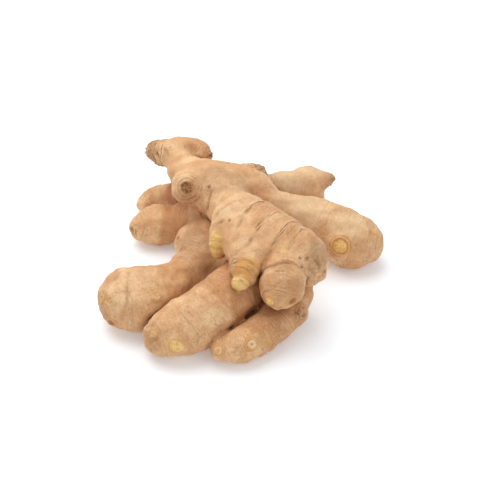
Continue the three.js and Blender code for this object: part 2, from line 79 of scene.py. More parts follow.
# Every growth of the rhizome, from its root to its tip. A station is [x, y, z, radius] in
# millimetres. "parent" is the growth that it branched from, "blend" the fillet between them,
# "rings" where its leaf-scar rings lie along it and "marked" how plainly those rings show.
GROWTHS = {
    "crown": dict(
        parent=None, blend=0, marked=0, rings=[],
        stations=[[-39.5, 54, 45, 8], [-36.5, 47, 44, 10.5], [-29.5, 41, 43, 12], [-19.5, 34.5, 42, 15],
                  [-5.5, 33, 41, 14.5], [4, 34.5, 39, 11]],
    ),
    "stem_boss": dict(
        parent="crown", blend=7, marked=0, rings=[],
        stations=[[-24, 33, 43, 12], [-29, 29, 45, 11], [-33.5, 27.5, 46, 10.5]],
    ),
    "knob_right": dict(
        parent="crown", blend=6, marked=0.35, rings=[9, 16],
        stations=[[-42.5, 66, 45, 8.5], [-37.5, 68, 46, 7.6], [-32, 69, 45, 7.3], [-27.5, 67.5, 43.5, 6.8],
                  [-26, 66, 43, 6]],
    ),
    "knob_left": dict(
        parent="crown", blend=6, marked=1.3, rings=[6, 11, 14, 17],
        stations=[[-41, 62, 45, 8.5], [-47.5, 66, 44.5, 8.5], [-52, 69, 43.5, 7.5],
                  [-54.5, 70.5, 43, 6.8]],
    ),
    "back_stub": dict(
        parent="crown", blend=4, marked=1, rings=[6, 11],
        stations=[[-3, 46, 38, 8.5], [4.5, 52.5, 38, 6.5], [7.5, 53.5, 38, 5.5]],
    ),
    "hand": dict(
        parent="crown", blend=8, marked=1, rings=[34.5, 44, 55.5, 65.5, 72.5, 84],
        stations=[[-17, 27, 43, 14], [-9.5, 12, 43.2, 12.9], [-2, 0, 44.8, 13.2], [6, -10, 46, 14.6],
                  [17, -21, 45, 15], [28, -29, 42, 14], [33, -31.5, 39, 11.5]],
    ),
    "hand_shoulder": dict(
        parent="hand", blend=2.5, marked=0, rings=[],
        stations=[[-1, -3, 47, 13.2], [-6, -7, 47.2, 12.4]],
    ),
    "hand_bud_upper": dict(
        parent="hand_shoulder", blend=5, marked=0.6, rings=[4],
        stations=[[-5, -10, 45, 11], [-8, -13, 43.5, 10.6], [-10, -14.5, 42, 9.5]],
    ),
    "palm_upper": dict(
        parent="hand", blend=6, marked=0, rings=[],
        stations=[[-6, -10, 46.5, 12.3], [-1.5, -16.5, 46.2, 13], [3.5, -23, 45, 13]],
    ),
    "upper_nub": dict(
        parent="hand_bud_upper", blend=3, marked=0.8, rings=[5, 7.5, 9.8],
        stations=[[-12, -14, 45, 6.6], [-14.3, -18, 43.5, 6.3], [-15.3, -21.5, 40, 5.4],
                  [-15.6, -22.7, 38, 4.6]],
    ),
    "palm": dict(
        parent="hand", blend=8, marked=0, rings=[],
        stations=[[7, -14, 44, 13], [8, -22, 43.5, 12.5], [9, -28.5, 42.5, 12]],
    ),
    "palm_left": dict(
        parent="palm", blend=5, marked=0, rings=[],
        stations=[[-3, -16, 43.5, 11], [-2.5, -22, 43.2, 10.9], [-1, -29, 42.5, 10.4]],
    ),
    "hand_bud_lower": dict(
        parent="hand", blend=4, marked=1, rings=[21.5, 24, 26],
        stations=[[6, -24, 43.5, 10.5], [3, -33, 42.5, 10], [0.8, -40, 41.5, 9.2], [0, -43.5, 41, 8.5],
                  [-1, -46.5, 40.3, 6.3], [-2.3, -50.5, 39, 5.2]],
    ),
    "hand_knuckle": dict(
        parent="hand", blend=3.5, marked=0.6, rings=[13.5, 20, 27],
        stations=[[23.5, -31.5, 42, 12], [21.5, -43, 39, 12], [20, -50, 36, 12.5], [19.5, -52, 34, 11]],
    ),
    "hand_heel": dict(
        parent="hand", blend=6, marked=0.6, rings=[5, 10],
        stations=[[30.5, -30.5, 41, 12], [35.5, -34, 36, 9], [36.5, -35.5, 33, 7.5], [35, -37.5, 32, 6]],
    ),
    "right_finger": dict(
        parent="crown", blend=8, marked=0.45, rings=[25, 46, 62, 71, 84],
        stations=[[0.5, 36, 38, 11], [13.5, 28.5, 35, 8.5], [28, 26.5, 30, 9.5], [44, 23.5, 24, 13.5],
                  [55.5, 19, 18, 16.3], [63.5, 16, 15, 16.8], [68.5, 15.2, 14.2, 14.4]],
    ),
    "back_branch": dict(
        parent="crown", blend=6, marked=0.45, rings=[10, 25, 46],
        stations=[[4.5, 43, 33, 10], [14.5, 53, 28, 8], [20.5, 56, 27, 8.7], [29.5, 60, 26, 8],
                  [41, 64.5, 25, 7.7], [48.5, 64.5, 25, 6.5], [50.5, 64.5, 25, 5.2]],
    ),
    "back_leg": dict(
        parent="back_branch", blend=5, marked=0.3, rings=[6, 13],
        stations=[[39.5, 64.5, 25, 7.5], [42, 61.5, 17, 7.5], [44, 56, 9, 7.5], [44.5, 54.5, 6.5, 7]],
    ),
    "hub": dict(
        parent="crown", blend=8, marked=0, rings=[],
        stations=[[-14, 32.5, 24, 14.5], [-24, 32, 22, 12], [-33.5, 32.5, 18, 8.5]],
    ),
    "left_finger": dict(
        parent="hub", blend=6, marked=0.4, rings=[14, 26.5, 39],
        stations=[[-27.5, 34, 20, 9.5], [-36.5, 35.5, 16, 10], [-45, 36, 12, 11.5],
                  [-53.5, 36, 11.5, 12.5], [-61, 34.5, 11, 9.5], [-64.5, 35, 10, 6]],
    ),
    "left_back_finger": dict(
        parent="hub", blend=5, marked=0.4, rings=[16, 30, 40, 50],
        stations=[[-30, 45, 24, 8.5], [-42, 64.5, 14, 8], [-51.5, 70, 9, 7.5], [-58.5, 69.5, 7, 6.5],
                  [-62.5, 67, 6, 6], [-64, 65.5, 5.5, 5]],
    ),
    "under_axis": dict(
        parent="hub", blend=6, marked=0, rings=[],
        stations=[[-32, 11.5, 15, 9], [-26.5, 13.5, 15, 11], [-18.5, 12.5, 18, 12], [-5.5, -4.5, 18, 11.5],
                  [9.5, -19, 18, 11.5], [24.5, -32, 16, 11]],
    ),
    "elbow": dict(
        parent="hub", blend=6, marked=0, rings=[],
        stations=[[-17.5, 18, 20, 12], [-25, 15.5, 19, 10.5], [-31, 14, 18, 9], [-33.5, 14, 18, 7]],
    ),
    "elbow_fold": dict(
        parent="elbow", blend=6, marked=0, rings=[],
        stations=[[-23.5, 9.5, 16, 12], [-29, 7, 14, 10], [-30.5, 3.5, 14, 8.5]],
    ),
    "lobe": dict(
        parent="elbow_fold", blend=8, marked=0.4, rings=[20, 36, 50, 66],
        stations=[[-23, 3, 15, 12], [-31, -8, 14, 11], [-43.5, -23.5, 13.5, 11.8], [-54, -31, 15, 14],
                  [-61.5, -39.3, 15.5, 16.2], [-67.5, -41.5, 15.5, 14.2]],
    ),
    "lobe_shoulder": dict(
        parent="lobe", blend=8, marked=0, rings=[],
        stations=[[-59.5, -34.5, 16.5, 12.5], [-66, -33.5, 17, 13], [-70, -33.5, 17, 11.5]],
    ),
    "lobe_side": dict(
        parent="lobe", blend=8, marked=0, rings=[],
        stations=[[-46, -30, 13.5, 12], [-52, -38, 14, 13.3], [-57.5, -42.5, 14, 13]],
    ),
    "front_finger": dict(
        parent="under_axis", blend=8, marked=0.4, rings=[26, 39.5, 59.5, 75],
        stations=[[9.5, -21, 24, 12.5], [0.5, -31.5, 24, 14.5], [-9.5, -43, 22, 15.5],
                  [-22, -54, 17.5, 16.5], [-33, -60.5, 14.5, 15.7], [-41.5, -63.5, 13, 13],
                  [-46, -65.5, 12, 10.5]],
    ),
    "front_right_finger": dict(
        parent="under_axis", blend=8, marked=0.4, rings=[21, 31, 43, 57],
        stations=[[26, -33, 17, 11], [23.5, -41.5, 13, 11], [14, -55, 10.6, 10.8], [3.5, -66, 10.1, 10.4],
                  [-6, -70.5, 9.2, 9.4], [-12, -71.5, 8.8, 7.4]],
    ),
    "crotch": dict(
        parent="front_finger", blend=2, marked=0, rings=[],
        stations=[[11, -34, 11.5, 8], [5.5, -42, 8, 6.3], [0.5, -47.5, 6.3, 5.2]],
    ),
    "under_stub": dict(
        parent="front_right_finger", blend=3, marked=0, rings=[],
        stations=[[23, -41, 14, 8], [28.5, -46, 13, 6], [29.5, -47, 12.5, 5]],
    ),
}

# Growths that touch others besides their parents, with the fillet between them.
FUSED_PAIRS = [
    ("knob_left", "knob_right", 5),
    ("hand", "stem_boss", 6),
    ("palm", "hand_bud_lower", 5),
    ("palm", "hand_knuckle", 2.5),
    ("palm", "hand_bud_upper", 4),
    ("palm", "hand_shoulder", 5),
    ("palm_upper", "hand_shoulder", 5),
    ("palm_upper", "hand_bud_upper", 5),
    ("palm_upper", "palm", 6),
    ("palm_left", "palm_upper", 6),
    ("palm_left", "hand_shoulder", 5),
    ("palm_left", "hand_bud_upper", 4),
    ("palm_left", "hand_bud_lower", 5),
    ("palm_upper", "hand_bud_lower", 4),
    ("hand", "hand_bud_upper", 4),
    ("under_axis", "elbow", 6),
    ("under_axis", "elbow_fold", 6),
    ("under_axis", "lobe", 6),
    ("lobe", "elbow", 6),
    ("crotch", "front_right_finger", 2),
]

# Buds and bud scars: a point at each one's middle, its radius, how far it stands out, and how
# fresh it is: 1 is a yellow living bud, 0 is plain dry skin and -1 is a dark scar. "collar" is
# how plainly rings show round it.
BUDS = [
    dict(at=(55.5, 1, 22), radius=5.9, rise=1.5, fresh=1.0, collar=1.0),
    dict(at=(-37, -76.5, 15), radius=6.0, rise=1.1, fresh=1.0, collar=0.3),
    dict(at=(-49.5, -72, 20), radius=3, rise=0.9, fresh=0.5, collar=0.4),
    dict(at=(-79.5, -45, 23), radius=3.4, rise=1, fresh=0.2, collar=0.7),
    dict(at=(-74, -53.5, 12), radius=3.2, rise=1, fresh=-0.9, collar=0.7),
    dict(at=(-49.5, -47.5, 25), radius=3, rise=0.9, fresh=0.0, collar=0.7),
    dict(at=(-14.5, -77, 12.5), radius=3.4, rise=1.2, fresh=0.5, collar=0.6),
    dict(at=(3.5, -76, 16), radius=3.8, rise=1.2, fresh=0.3, collar=1.0),
    dict(at=(13, -61.5, 34), radius=3.6, rise=1.1, fresh=0.9, collar=0.5),
    dict(at=(25, -61, 34), radius=3.4, rise=1, fresh=-0.9, collar=0.8),
    dict(at=(-68.5, 29, 13), radius=3, rise=0.9, fresh=-0.8, collar=0.8),
]

# The round scar where the leafy stem was cut off.
STEM_SCAR = dict(at=(-34.2, 18.9, 52.2), facing=(-0.08, -0.74, 0.66), radius=10)

# Where the skin is tinted, by the mask's name: the middle of each patch, its radius and strength.
PATCHES = {
    # Fair, dry skin.
    "fair": [
        ((36, 21, 33), 16.0, 1.0),
        ((22, 26, 40), 10.0, 0.7),
        ((60, 12, 30), 13.0, 0.8),
        ((30, 58, 34), 16.0, 0.9),
        ((46, 62, 32), 9.0, 0.8),
        ((-8, -11, 60), 9.0, 0.5),
        ((-60, -38, 31), 11.0, 0.4),
    ],
    # Yellow skin of living buds.
    "yellow": [
        ((-18, -25, 41), 8.0, 1.0),
        ((-17, -22, 47), 5.0, 1.0),
        ((-3, -54, 39), 6.5, 0.95),
        ((12, -71, 15), 5.0, 0.35),
        ((21.5, -40, 52), 3.0, 0.5),
        ((-78, -50, 22), 5.0, 0.25),
    ],
    # Ripe skin round the young buds.
    "amber": [
        ((0.5, -48, 45), 8.0, 0.9),
        ((-14, -26, 45), 6.0, 0.5),
        ((56, 0, 23), 8.0, 0.5),
        ((76, 7, 24), 5.0, 0.4),
        ((43, -41, 36), 5.0, 0.5),
    ],
    # Torn, scaly ends.
    "brown": [
        ((-60, 69, 45), 9.0, 0.75),
        ((-20, 63, 46), 4.0, 0.5),
        ((11, 51, 41), 7.5, 0.9),
        ((30, -51, 16), 5.0, 0.9),
        ((-2.5, -54.5, 42.5), 2.2, 0.8),
        ((-67, 29, 13), 4.5, 0.8),
        ((-77, -51, 12), 5.0, 0.5),
        ((54.5, 64, 26), 4.0, 0.8),
    ],
    # Painted shade on the crown, the elbow and the back branch, and darker, greyer skin on the scarred heel.
    "dull_and_shade": [
        ((-17, 20, 56), 14.0, 0.8),
        ((-6, 17, 55), 12.0, 0.8),
        ((-31, -1, 25), 13.0, 0.9),
        ((-26, -13, 22), 9.0, 0.7),
        ((41, -37, 46), 11.0, 0.9),
        ((18, 50, 34), 10.0, 0.9),
    ],
    # Rosy skin of the new stub at the back leg, and rosy painted shade on the inner side of the left back
    # finger.
    "pink_and_shade": [
        ((-46, 57, 20), 13.0, 1.0),
        ((52, 62, 27), 7.0, 0.9),
    ],
}

# Small dark pits where roots have broken off.
PITS = [(-21, 16.5, 53.9), (-7.5, -18.5, 54.3), (29.6, -43.2, 49.2), (33.5, -42, 48.2),
        (30.6, -46.6, 45.7), (-39.7, 9.5, 22), (-38, -1, 22), (-2.6, -54, 40.4), (44, -39, 36)]
PIT_RADIUS = 1.3

# Where the skin is scaly and rough: the middle of the patch, its radius and strength.
ROUGH_PATCHES = [
    ((38, -42, 40), 12.0, 0.9),
    ((42, -40, 34), 7.0, 1.0),
    ((30, -51, 16), 7.0, 1.0),
    ((-58, 67, 44), 10.5, 1.0),
    ((54, 64, 26), 5.0, 0.9),
    ((76, 8, 21), 9.0, 0.5),
    ((-22, 64, 46), 6.0, 0.9),
    ((9, 52, 40), 7.0, 1.0),
    ((-80, -47, 18), 11.0, 0.9),
    ((-52, -72, 15), 8.0, 0.9),
    ((18, -59, 43), 9.0, 0.35),
    ((27, -56, 40), 7.0, 0.5),
    ((15, -64, 18), 12.0, 0.45),
    ((-57, -53, 20), 9.0, 0.4),
    ((78, 8, 18), 10.0, 0.4),
    ((-33, 14, 44), 8.0, 0.45),
    ((-22, 10, 45), 7.0, 0.45),
    ((50, 63, 25), 6.0, 0.6),
]

# Folds where the skin is pinched: lines of points on it, and how deep each fold is.
FOLDS = [
    ([(-21, 16.5, 54), (-20.3, 11.5, 51.5), (-21.5, 8, 48.5), (-23, 9, 41.5)], 0.8),
    ([(-17, -14.5, 53), (-15.5, -12, 56.5), (-12.5, -10, 59), (-8, -6, 59.5), (-3, -6, 60),
      (1, -10, 61)], 0.5),
    ([(-17.5, -16.5, 50.5), (-14, -18, 54), (-10, -18, 56.5)], 0.8),
    ([(9.5, -46.5, 42), (11, -48, 45.5), (15.5, -48.5, 48.5), (20.5, -47.5, 50), (29.5, -48.5, 46.5)], 0.8),
    ([(2.5, -11, 61.5), (0, -17, 60), (-3.5, -23.5, 58), (-7, -27, 54.5)], 0.45),
    ([(11, -19, 60.5), (7, -28, 57.5), (3, -33.5, 53.5), (-2, -38.5, 51.5), (-7, -41, 47.5)], 0.4),
    ([(23.5, -24, 59), (19.5, -31, 57.5), (15.5, -37, 53.5), (11, -41, 46)], 0.3),
    ([(29.5, -31, 56.5), (25, -37.5, 53.5), (21, -44.5, 51)], 0.3),
    ([(-8.5, -43, 42), (-6.5, -45, 46.5), (-2.5, -45, 48.5), (2, -46.5, 49), (5.5, -47.5, 46.5)], 0.6),
    ([(12, -54.5, 45), (16.5, -53, 47.5), (21.5, -53.5, 48), (26, -55.5, 45.5)], 0.3),
    ([(13.5, -60, 40), (17, -59, 44), (21.5, -59, 44)], 0.3),
    ([(-55, 65, 50), (-53, 60.5, 47), (-49, 57.5, 40.5)], 0.9),
    ([(-58.5, 65.5, 47), (-56, 61.5, 43), (-52, 60, 39.5)], 0.8),
    ([(-52, 69, 51.5), (-48.5, 59.5, 51), (-44.5, 51, 51)], 0.5),
    ([(36, -41.5, 48), (39.5, -41.5, 44), (42, -41.5, 38.5)], 0.5),
    ([(33, -44, 44), (36.5, -44.5, 40), (38.5, -44.5, 35.5)], 0.5),
    ([(-65, -30.5, 31.5), (-65, -45, 31.5), (-65, -52.5, 27), (-66.5, -56, 20)], 0.4),
    ([(-56, -63.5, 15), (-52, -66.5, 20.5), (-47, -70.5, 23)], 0.4),
    ([(-53.5, -72, 14.5), (-49, -74, 17.5), (-45, -76, 16)], 0.3),
    ([(71.5, 15, 30), (73.5, 8.5, 27.5), (73.5, 3.5, 22)], 0.3),
    ([(-39.5, 11, 22.5), (-37, 1.5, 22.5), (-32, -9.5, 23.5)], 0.3),
]

# A fold's groove, the ridges beside it as shares of its width and depth, how far it wavers from
# its line, and how far from its ends it fades out.
FOLD_WIDTH = 0.9
RIDGE_PLACE = 1.7
RIDGE_WIDTH = 0.8
RIDGE_HEIGHT = 0.45
FOLD_SWAY = 1.2
FOLD_FADE = 5

# Stretches between rings whose skin is duskier, partly darker sheath skin and partly painted shade where the
# hand and the crown shadow the fingers: the growth, from and to where, and how strongly.
DUSKY_AND_SHADE = [
    ("front_finger", -20, 39.5, 1.0),
    ("left_finger", -20, 26.5, 1.0),
    ("left_back_finger", -20, 30, 1.0),
    ("hand", 44, 55.5, 0.35),
    ("hand", 65.5, 100, 0.45),
    ("hand_knuckle", 20, 60, 0.3),
    ("lobe", 20, 36, 0.4),
    ("lobe", 36, 50, 0.2),
    ("front_right_finger", -20, 43, 0.7),
    ("right_finger", 71, 120, 0.3),
    ("right_finger", -20, 25, 0.2),
]

# Slow swelling of the skin, up or down, as in the solid.
LUMP_HEIGHT = 0.7
LUMP_LENGTH = 21.0

# Smooth noise that roughens the skin: how far it moves it, how wide its blotches are, and a seed.
DENTS = [(0.45, 9, 17), (0.4, 6, 5), (0.28, 3, 7)]
SCALES = [(1.0, 3.6, 19), (0.6, 1.9, 23)]
PIT_DEPTH = 0.6

# Reach over which narrow creases, broad hollows and gaps between touching growths are looked for. The skin is
# painted with shade in all three, and sinks a little in the gaps.
NARROW_REACH = 3.0
BROAD_REACH = 9.0
GAP_REACH = 1.4
GAP_DEPTH = 0.2

# Leaf-scar rings. The skin steps down by a share of the space between two rings, over a short
# edge, and a thin lip stands just before each step. Spaces wider than the widest count as that.
RING_STEP = 0.04
RING_WIDEST_SPACE = 13
RING_EDGE = 0.6
LIP_HEIGHT = 0.16
LIP_PLACE = 0.7
LIP_WIDTH = 0.5

# Where growths meet, the rings fade out over this far beside the border and under the fillet.
BORDER_FADE = 2.0
FILLET_FADE = 2.5

# Fine wrinkles across and along each growth: height, how the grain is squeezed, width and a seed.
WRINKLES = [(0.12, (4, 1, 1), 6, 29), (0.06, (0.2, 1, 1), 1.7, 31)]

# Profiles of a living bud, a dry or dead bud and the cut stem: how far out, as a share of the
# radius, and how high. A bud's heights are shares of its rise, the stem's are shares of its radius.
LIVING_BUD = [(0, 1.2), (0.15, 1.15), (0.3, 1.0), (0.6, 0.25), (0.72, 0.3), (0.86, 0.75),
              (1.0, 0.45), (1.25, 0)]
DRY_BUD = [(0, -0.1), (0.15, 0.2), (0.3, 0.7), (0.6, 0.5), (0.72, 0.35), (0.86, 0.75),
           (1.0, 0.4), (1.25, 0)]
CUT_STEM = [(0, -0.09), (0.15, -0.07), (0.32, 0.05), (0.46, 0.0), (0.56, 0.06), (0.72, -0.03),
            (0.82, 0.03), (1.0, -0.02), (1.2, 0)]
LIVING = 0.6  # a bud fresher than this is a living one
OFF_MARK = 3.0  # the share of a bud's or the stem's radius that stands for nowhere near it

# How closely a growth is sampled along its centre line, and how often the new skin is smoothed.
SAMPLE_SPACING = 1.8
SMOOTHING_ROUNDS = 2

# The stage: where the soft lamps hang, how wide they are, and what they and the camera aim at.
KEY_LAMP = dict(width=900, place=(-230, 280, 920))
FILL_LAMP = dict(width=1200, place=(500, -800, 700))
LAMP_AIM = (0, 0, 20)
VIEW_AIM = (-3, 7.5, 22)
SENSOR_WIDTH = 36.0
TABLE_GLOW = 0.19
ROOM_COLOUR = (0.96, 0.97, 1.0, 1.0)


# ------------------------------------------------------------------- the growths' own shapes


def curve_through(points, shares):
    """A centripetal Catmull-Rom curve through points, at shares of the way from 0 to 1."""
    points = np.asarray(points, float)
    padded = np.array([2 * points[0] - points[1], *points, 2 * points[-1] - points[-2]])
    place = np.clip(shares, 0, 1) * (len(points) - 1)
    first = np.minimum(place.astype(int), len(points) - 2)
    w = (place - first)[:, None]
    p0, p1, p2, p3 = (padded[first + k] for k in range(4))
    sides = ((p0, p1), (p1, p2), (p2, p3))
    d0, d1, d2 = (np.sqrt(np.linalg.norm(b - a, axis=1))[:, None] for a, b in sides)
    t1 = ((p1 - p0) / d0 - (p2 - p0) / (d0 + d1) + (p2 - p1) / d1) * d1
    t2 = ((p2 - p1) / d1 - (p3 - p1) / (d1 + d2) + (p3 - p2) / d2) * d1
    return p1 + w * t1 + w**2 * (3 * (p2 - p1) - 2 * t1 - t2) + w**3 * (2 * (p1 - p2) + t1 + t2)


def radii_through(radii, shares):
    """Radii eased from station to station, at shares of the way from 0 to 1."""
    radii = np.asarray(radii, float)
    padded = np.array([radii[0], *radii, radii[-1]])
    place = np.clip(shares, 0, 1) * (len(radii) - 1)
    first = np.minimum(place.astype(int), len(radii) - 2)
    w = place - first
    p0, p1, p2, p3 = (padded[first + k] for k in range(4))
    v0, v1 = (p2 - p0) / 2, (p3 - p1) / 2
    return p1 + w * v0 + w**2 * (3 * (p2 - p1) - 2 * v0 - v1) + w**3 * (2 * (p1 - p2) + v0 + v1)


class Growth:
    """One growth, sampled along its centre line, with a frame carried along it."""

    def __init__(self, name, stations, rings, marked, **_):
        stations = np.array(stations, float)
        fine = np.linspace(0, 1, 240)
        path = curve_through(stations[:, :3], fine)
        run = np.r_[0, np.cumsum(np.linalg.norm(np.diff(path, axis=0), axis=1))]
        count = max(3, math.ceil(run[-1] / SAMPLE_SPACING))
        self.name = name
        self.length = run[-1]
        self.along = np.linspace(0, self.length, count + 1)
        shares = np.interp(self.along, run, fine)
        self.centres = curve_through(stations[:, :3], shares)
        self.radii = radii_through(stations[:, 3], shares)
        self.steps = np.diff(self.centres, axis=0)
        self.marked = marked
        before_root, past_tip = -20.0, self.length + 30
        self.rings = np.array([before_root, *rings, past_tip])
        self.across, self.up = self.carried_frame()
        reach = self.radii[:, None]
        self.low = (self.centres - reach).min(0)
        self.high = (self.centres + reach).max(0)

    def carried_frame(self):
        """Two directions square to each step, which turn as little as they can along the way."""
        across, up = [], []
        side = np.cross((0, 0, 1), self.steps[0])
        for step in self.steps:
            ahead = step / np.linalg.norm(step)
            side = side - (side @ ahead) * ahead
            side = side / np.linalg.norm(side)
            across.append(side)
            up.append(np.cross(ahead, side))
        return np.array(across), np.array(up)

    def measure(self, points):
        """Each point's gap to the skin, the way out, its distance along, and its two offsets."""
        from_start = points[:, None, :] - self.centres[None, :-1, :]
        sizes = (self.steps**2).sum(1)
        share = np.clip(np.einsum("nsk,sk->ns", from_start, self.steps) / sizes, 0, 1)
        away = from_start - share[..., None] * self.steps
        reach = np.linalg.norm(away, axis=2)
        gap = reach - self.radii[:-1] - share * np.diff(self.radii)
        step = gap.argmin(1)
        rows = np.arange(len(points))
        away = away[rows, step]
        ahead = self.steps[step] / np.sqrt(sizes[step])[:, None]
        along = self.along[step] + share[rows, step] * np.sqrt(sizes[step]) + (away * ahead).sum(1)
        return {
            "gap": gap[rows, step],
            "out": away / np.maximum(reach[rows, step], 1e-6)[:, None],
            "along": along,
            "offsets": np.stack([(away * self.across[step]).sum(1), (away * self.up[step]).sum(1)], 1),
        }


GROWN = [Growth(name, **growth) for name, growth in GROWTHS.items()]
ORDER = {growth.name: i for i, growth in enumerate(GROWN)}
PAIRS = [(name, g["parent"], g["blend"]) for name, g in GROWTHS.items() if g["parent"]] + FUSED_PAIRS


def survey(points, margin=16.0):
    """Measures points against every growth that they are near. Arrays are [growth, point]."""
    gap = np.full((len(GROWN), len(points)), FAR)
    out = np.zeros((len(GROWN), len(points), 3))
    along = np.zeros((len(GROWN), len(points)))
    offsets = np.zeros((len(GROWN), len(points), 2))
    for i, growth in enumerate(GROWN):
        near = ((points > growth.low - margin) & (points < growth.high + margin)).all(1)
        found = growth.measure(points[near])
        gap[i, near] = found["gap"]
        out[i, near] = found["out"]
        along[i, near] = found["along"]
        offsets[i, near] = found["offsets"]
    return {"gap": gap, "out": out, "along": along, "offsets": offsets}


def lump_height(points):
    """Slow swellings and hollows of the skin, in millimetres."""
    k = 2 * math.pi / LUMP_LENGTH
    x, y, z = points.T
    a = np.sin(k * (x + 0.4 * y) + 1.3) * np.sin(k * (0.9 * y - 0.5 * z) + 0.4)
    b = np.sin(k * 1.7 * (0.6 * x - y) + 2.1) * np.sin(k * 1.5 * (z + 0.5 * x) + 5.2)
    return LUMP_HEIGHT * (0.75 * a + 0.55 * b)


def skin_gap(points, found=None):
    """How far points lie outside the filleted, lumpy skin, and the way straight out of it."""
    found = found or survey(points)
    gap, out = found["gap"], found["out"]
    rows = np.arange(len(points))
    nearest = gap.argmin(0)
    best = gap[nearest, rows]
    way = out[nearest, rows]
    for name, other, blend in PAIRS:
        one, two = ORDER[name], ORDER[other]
        apart = gap[one] - gap[two]
        overlap = np.maximum(blend - np.abs(apart), 0) / blend
        soft = np.minimum(gap[one], gap[two]) - overlap**2 * blend / 4
        fused = (soft < best) & (overlap > 0)
        share = np.where(apart < 0, 1 - overlap / 2, overlap / 2)[:, None]
        way[fused] = (share * out[one] + (1 - share) * out[two])[fused]
        best = np.where(fused, soft, best)
    way /= np.maximum(np.linalg.norm(way, axis=1), 1e-6)[:, None]
    return best - lump_height(points), way


def onto_skin(points, moves):
    """Points moved straight out or in to the skin, in a few moves."""
    for _ in range(moves):
        gap, way = skin_gap(points)
        points = points - gap[:, None] * way
    return points


def relaxed(points, links, share=0.5):
    """Points moved part of the way to the middle of their neighbours."""
    ends = np.concatenate([links, links[:, ::-1]])
    count = np.bincount(ends[:, 0], minlength=len(points))
    middle = np.stack(
        [np.bincount(ends[:, 0], points[ends[:, 1], k], minlength=len(points)) for k in range(3)], 1
    )
    return points + share * (middle / np.maximum(count, 1)[:, None] - points)


# ------------------------------------------------------------------------- the skin's relief


def drift(points, size, seed):
    """Smooth noise from -1 to 1 whose blotches are about size millimetres wide."""
    offset = Vector((seed * 17.3, seed * 5.1, seed * 9.7))
    return np.array([noise.noise(Vector(p) / size + offset) for p in points])


def layered_drift(points, layers):
    """Several layers of smooth noise, each a height, a width of its blotches and a seed."""
    return sum(height * drift(points, size, seed) for height, size, seed in layers)


def eased(low, high, value):
    """0 below low, 1 above high, and smooth between."""
    t = np.clip((value - low) / (high - low), 0, 1)
    return t * t * (3 - 2 * t)


def ring_places(points, found):
    """How far past the nearest ring each point is, how the skin steps there, and its grain."""
    ringed = np.array([i for i, growth in enumerate(GROWN) if growth.marked > 0])
    gaps = found["gap"][ringed]
    order = np.argsort(gaps, axis=0)
    rows = np.arange(len(points))
    first, second = order[0], order[1]
    owner = ringed[first]
    tie = np.clip((gaps[second, rows] - gaps[first, rows]) / BORDER_FADE, 0, 1)
    buried = np.clip((gaps[first, rows] - found["gap"].min(0)) / FILLET_FADE, 0, 1)
    marked = np.array([growth.marked for growth in GROWN])[owner]
    along = found["along"][owner, rows]
    offsets = found["offsets"][owner, rows]
    angle = np.arctan2(offsets[:, 1], offsets[:, 0])
    # A ring isn't a true circle: it sways on its way round, and wanders a little.
    sway = 1.2 * np.sin(angle + owner) + 0.6 * np.sin(2 * angle + 2.3 * owner)
    place = along + sway + 1.6 * drift(points, 14, 3)
    before = np.full(len(points), FAR)
    after = np.full(len(points), FAR)
    for i in ringed:
        own = owner == i
        rings = GROWN[i].rings
        step = np.clip(np.searchsorted(rings, place[own]), 1, len(rings) - 1)
        before[own] = rings[step] - place[own]
        after[own] = place[own] - rings[step - 1]
    own_skin = tie * (1 - buried)
    # Dusky stretches: partly darker sheath skin, partly painted shade.
    dusky_and_shade = np.zeros(len(points))
    for name, start, end, strength in DUSKY_AND_SHADE:
        inside = eased(start - 0.5, start + 0.5, place) * (1 - eased(end - 0.5, end + 0.5, place))
        dusky_and_shade = np.maximum(dusky_and_shade, strength * inside * (owner == ORDER[name]) * own_skin)
    return {
        "dusky_and_shade": dusky_and_shade,
        "before": before,
        "after": after,
        "strength": marked * own_skin,
        "own_skin": own_skin,
        "grain": np.column_stack([along, offsets]),
    }


def ring_relief(rings, unevenness):
    """Each ring steps down towards the tip, with a thin lip at its edge."""
    before, after = rings["before"], rings["after"]
    space = before + after
    share = after / space
    saw = (share - 0.5) * np.minimum(1, after / RING_EDGE) * np.minimum(1, before / RING_EDGE)
    lip = np.exp(-(((before - LIP_PLACE) / LIP_WIDTH) ** 2))
    tall = RING_STEP * np.minimum(space, RING_WIDEST_SPACE) * (0.75 + 0.5 * unevenness)
    return rings["strength"] * (tall * saw + LIP_HEIGHT * lip)


def turned_distance(points, middle, facing, radius):
    """Each point's share of a round mark's radius, or OFF_MARK where it is nowhere near it."""
    facing = np.array(facing, float)
    facing /= np.linalg.norm(facing)
    away = points - np.array(middle, float)
    height = away @ facing
    share = np.linalg.norm(away - height[:, None] * facing, axis=1) / radius
    reach = 0.9 * radius + 1
    return np.where(np.abs(height) < reach, share, OFF_MARK)


def bud_relief(points):
    """Domes with a collar round them, and for each point its place on the nearest bud."""
    relief = np.zeros(len(points))
    nearest = np.full(len(points), OFF_MARK)
    fresh, collar = np.zeros(len(points)), np.zeros(len(points))
    middles = onto_skin(np.array([bud["at"] for bud in BUDS], float), 4)
    facings = skin_gap(middles)[1]
    uneven = 0.09 * drift(points, 2.2, 37)
    for bud, middle, facing in zip(BUDS, middles, facings):
        share = turned_distance(points, middle, facing, bud["radius"]) + uneven
        share = np.maximum(share, 0)
        profile = LIVING_BUD if bud["fresh"] > LIVING else DRY_BUD
        relief += bud["rise"] * np.interp(share, *zip(*profile))
        closer = share < nearest
        nearest[closer] = share[closer]
        fresh[closer] = bud["fresh"]
        collar[closer] = bud["collar"]
    return relief, nearest, fresh, collar


def stem_scar_relief(points):
    """Low rings round a dimple, where the stem was cut."""
    share = turned_distance(points, STEM_SCAR["at"], STEM_SCAR["facing"], STEM_SCAR["radius"])
    return STEM_SCAR["radius"] * np.interp(share, *zip(*CUT_STEM)), share


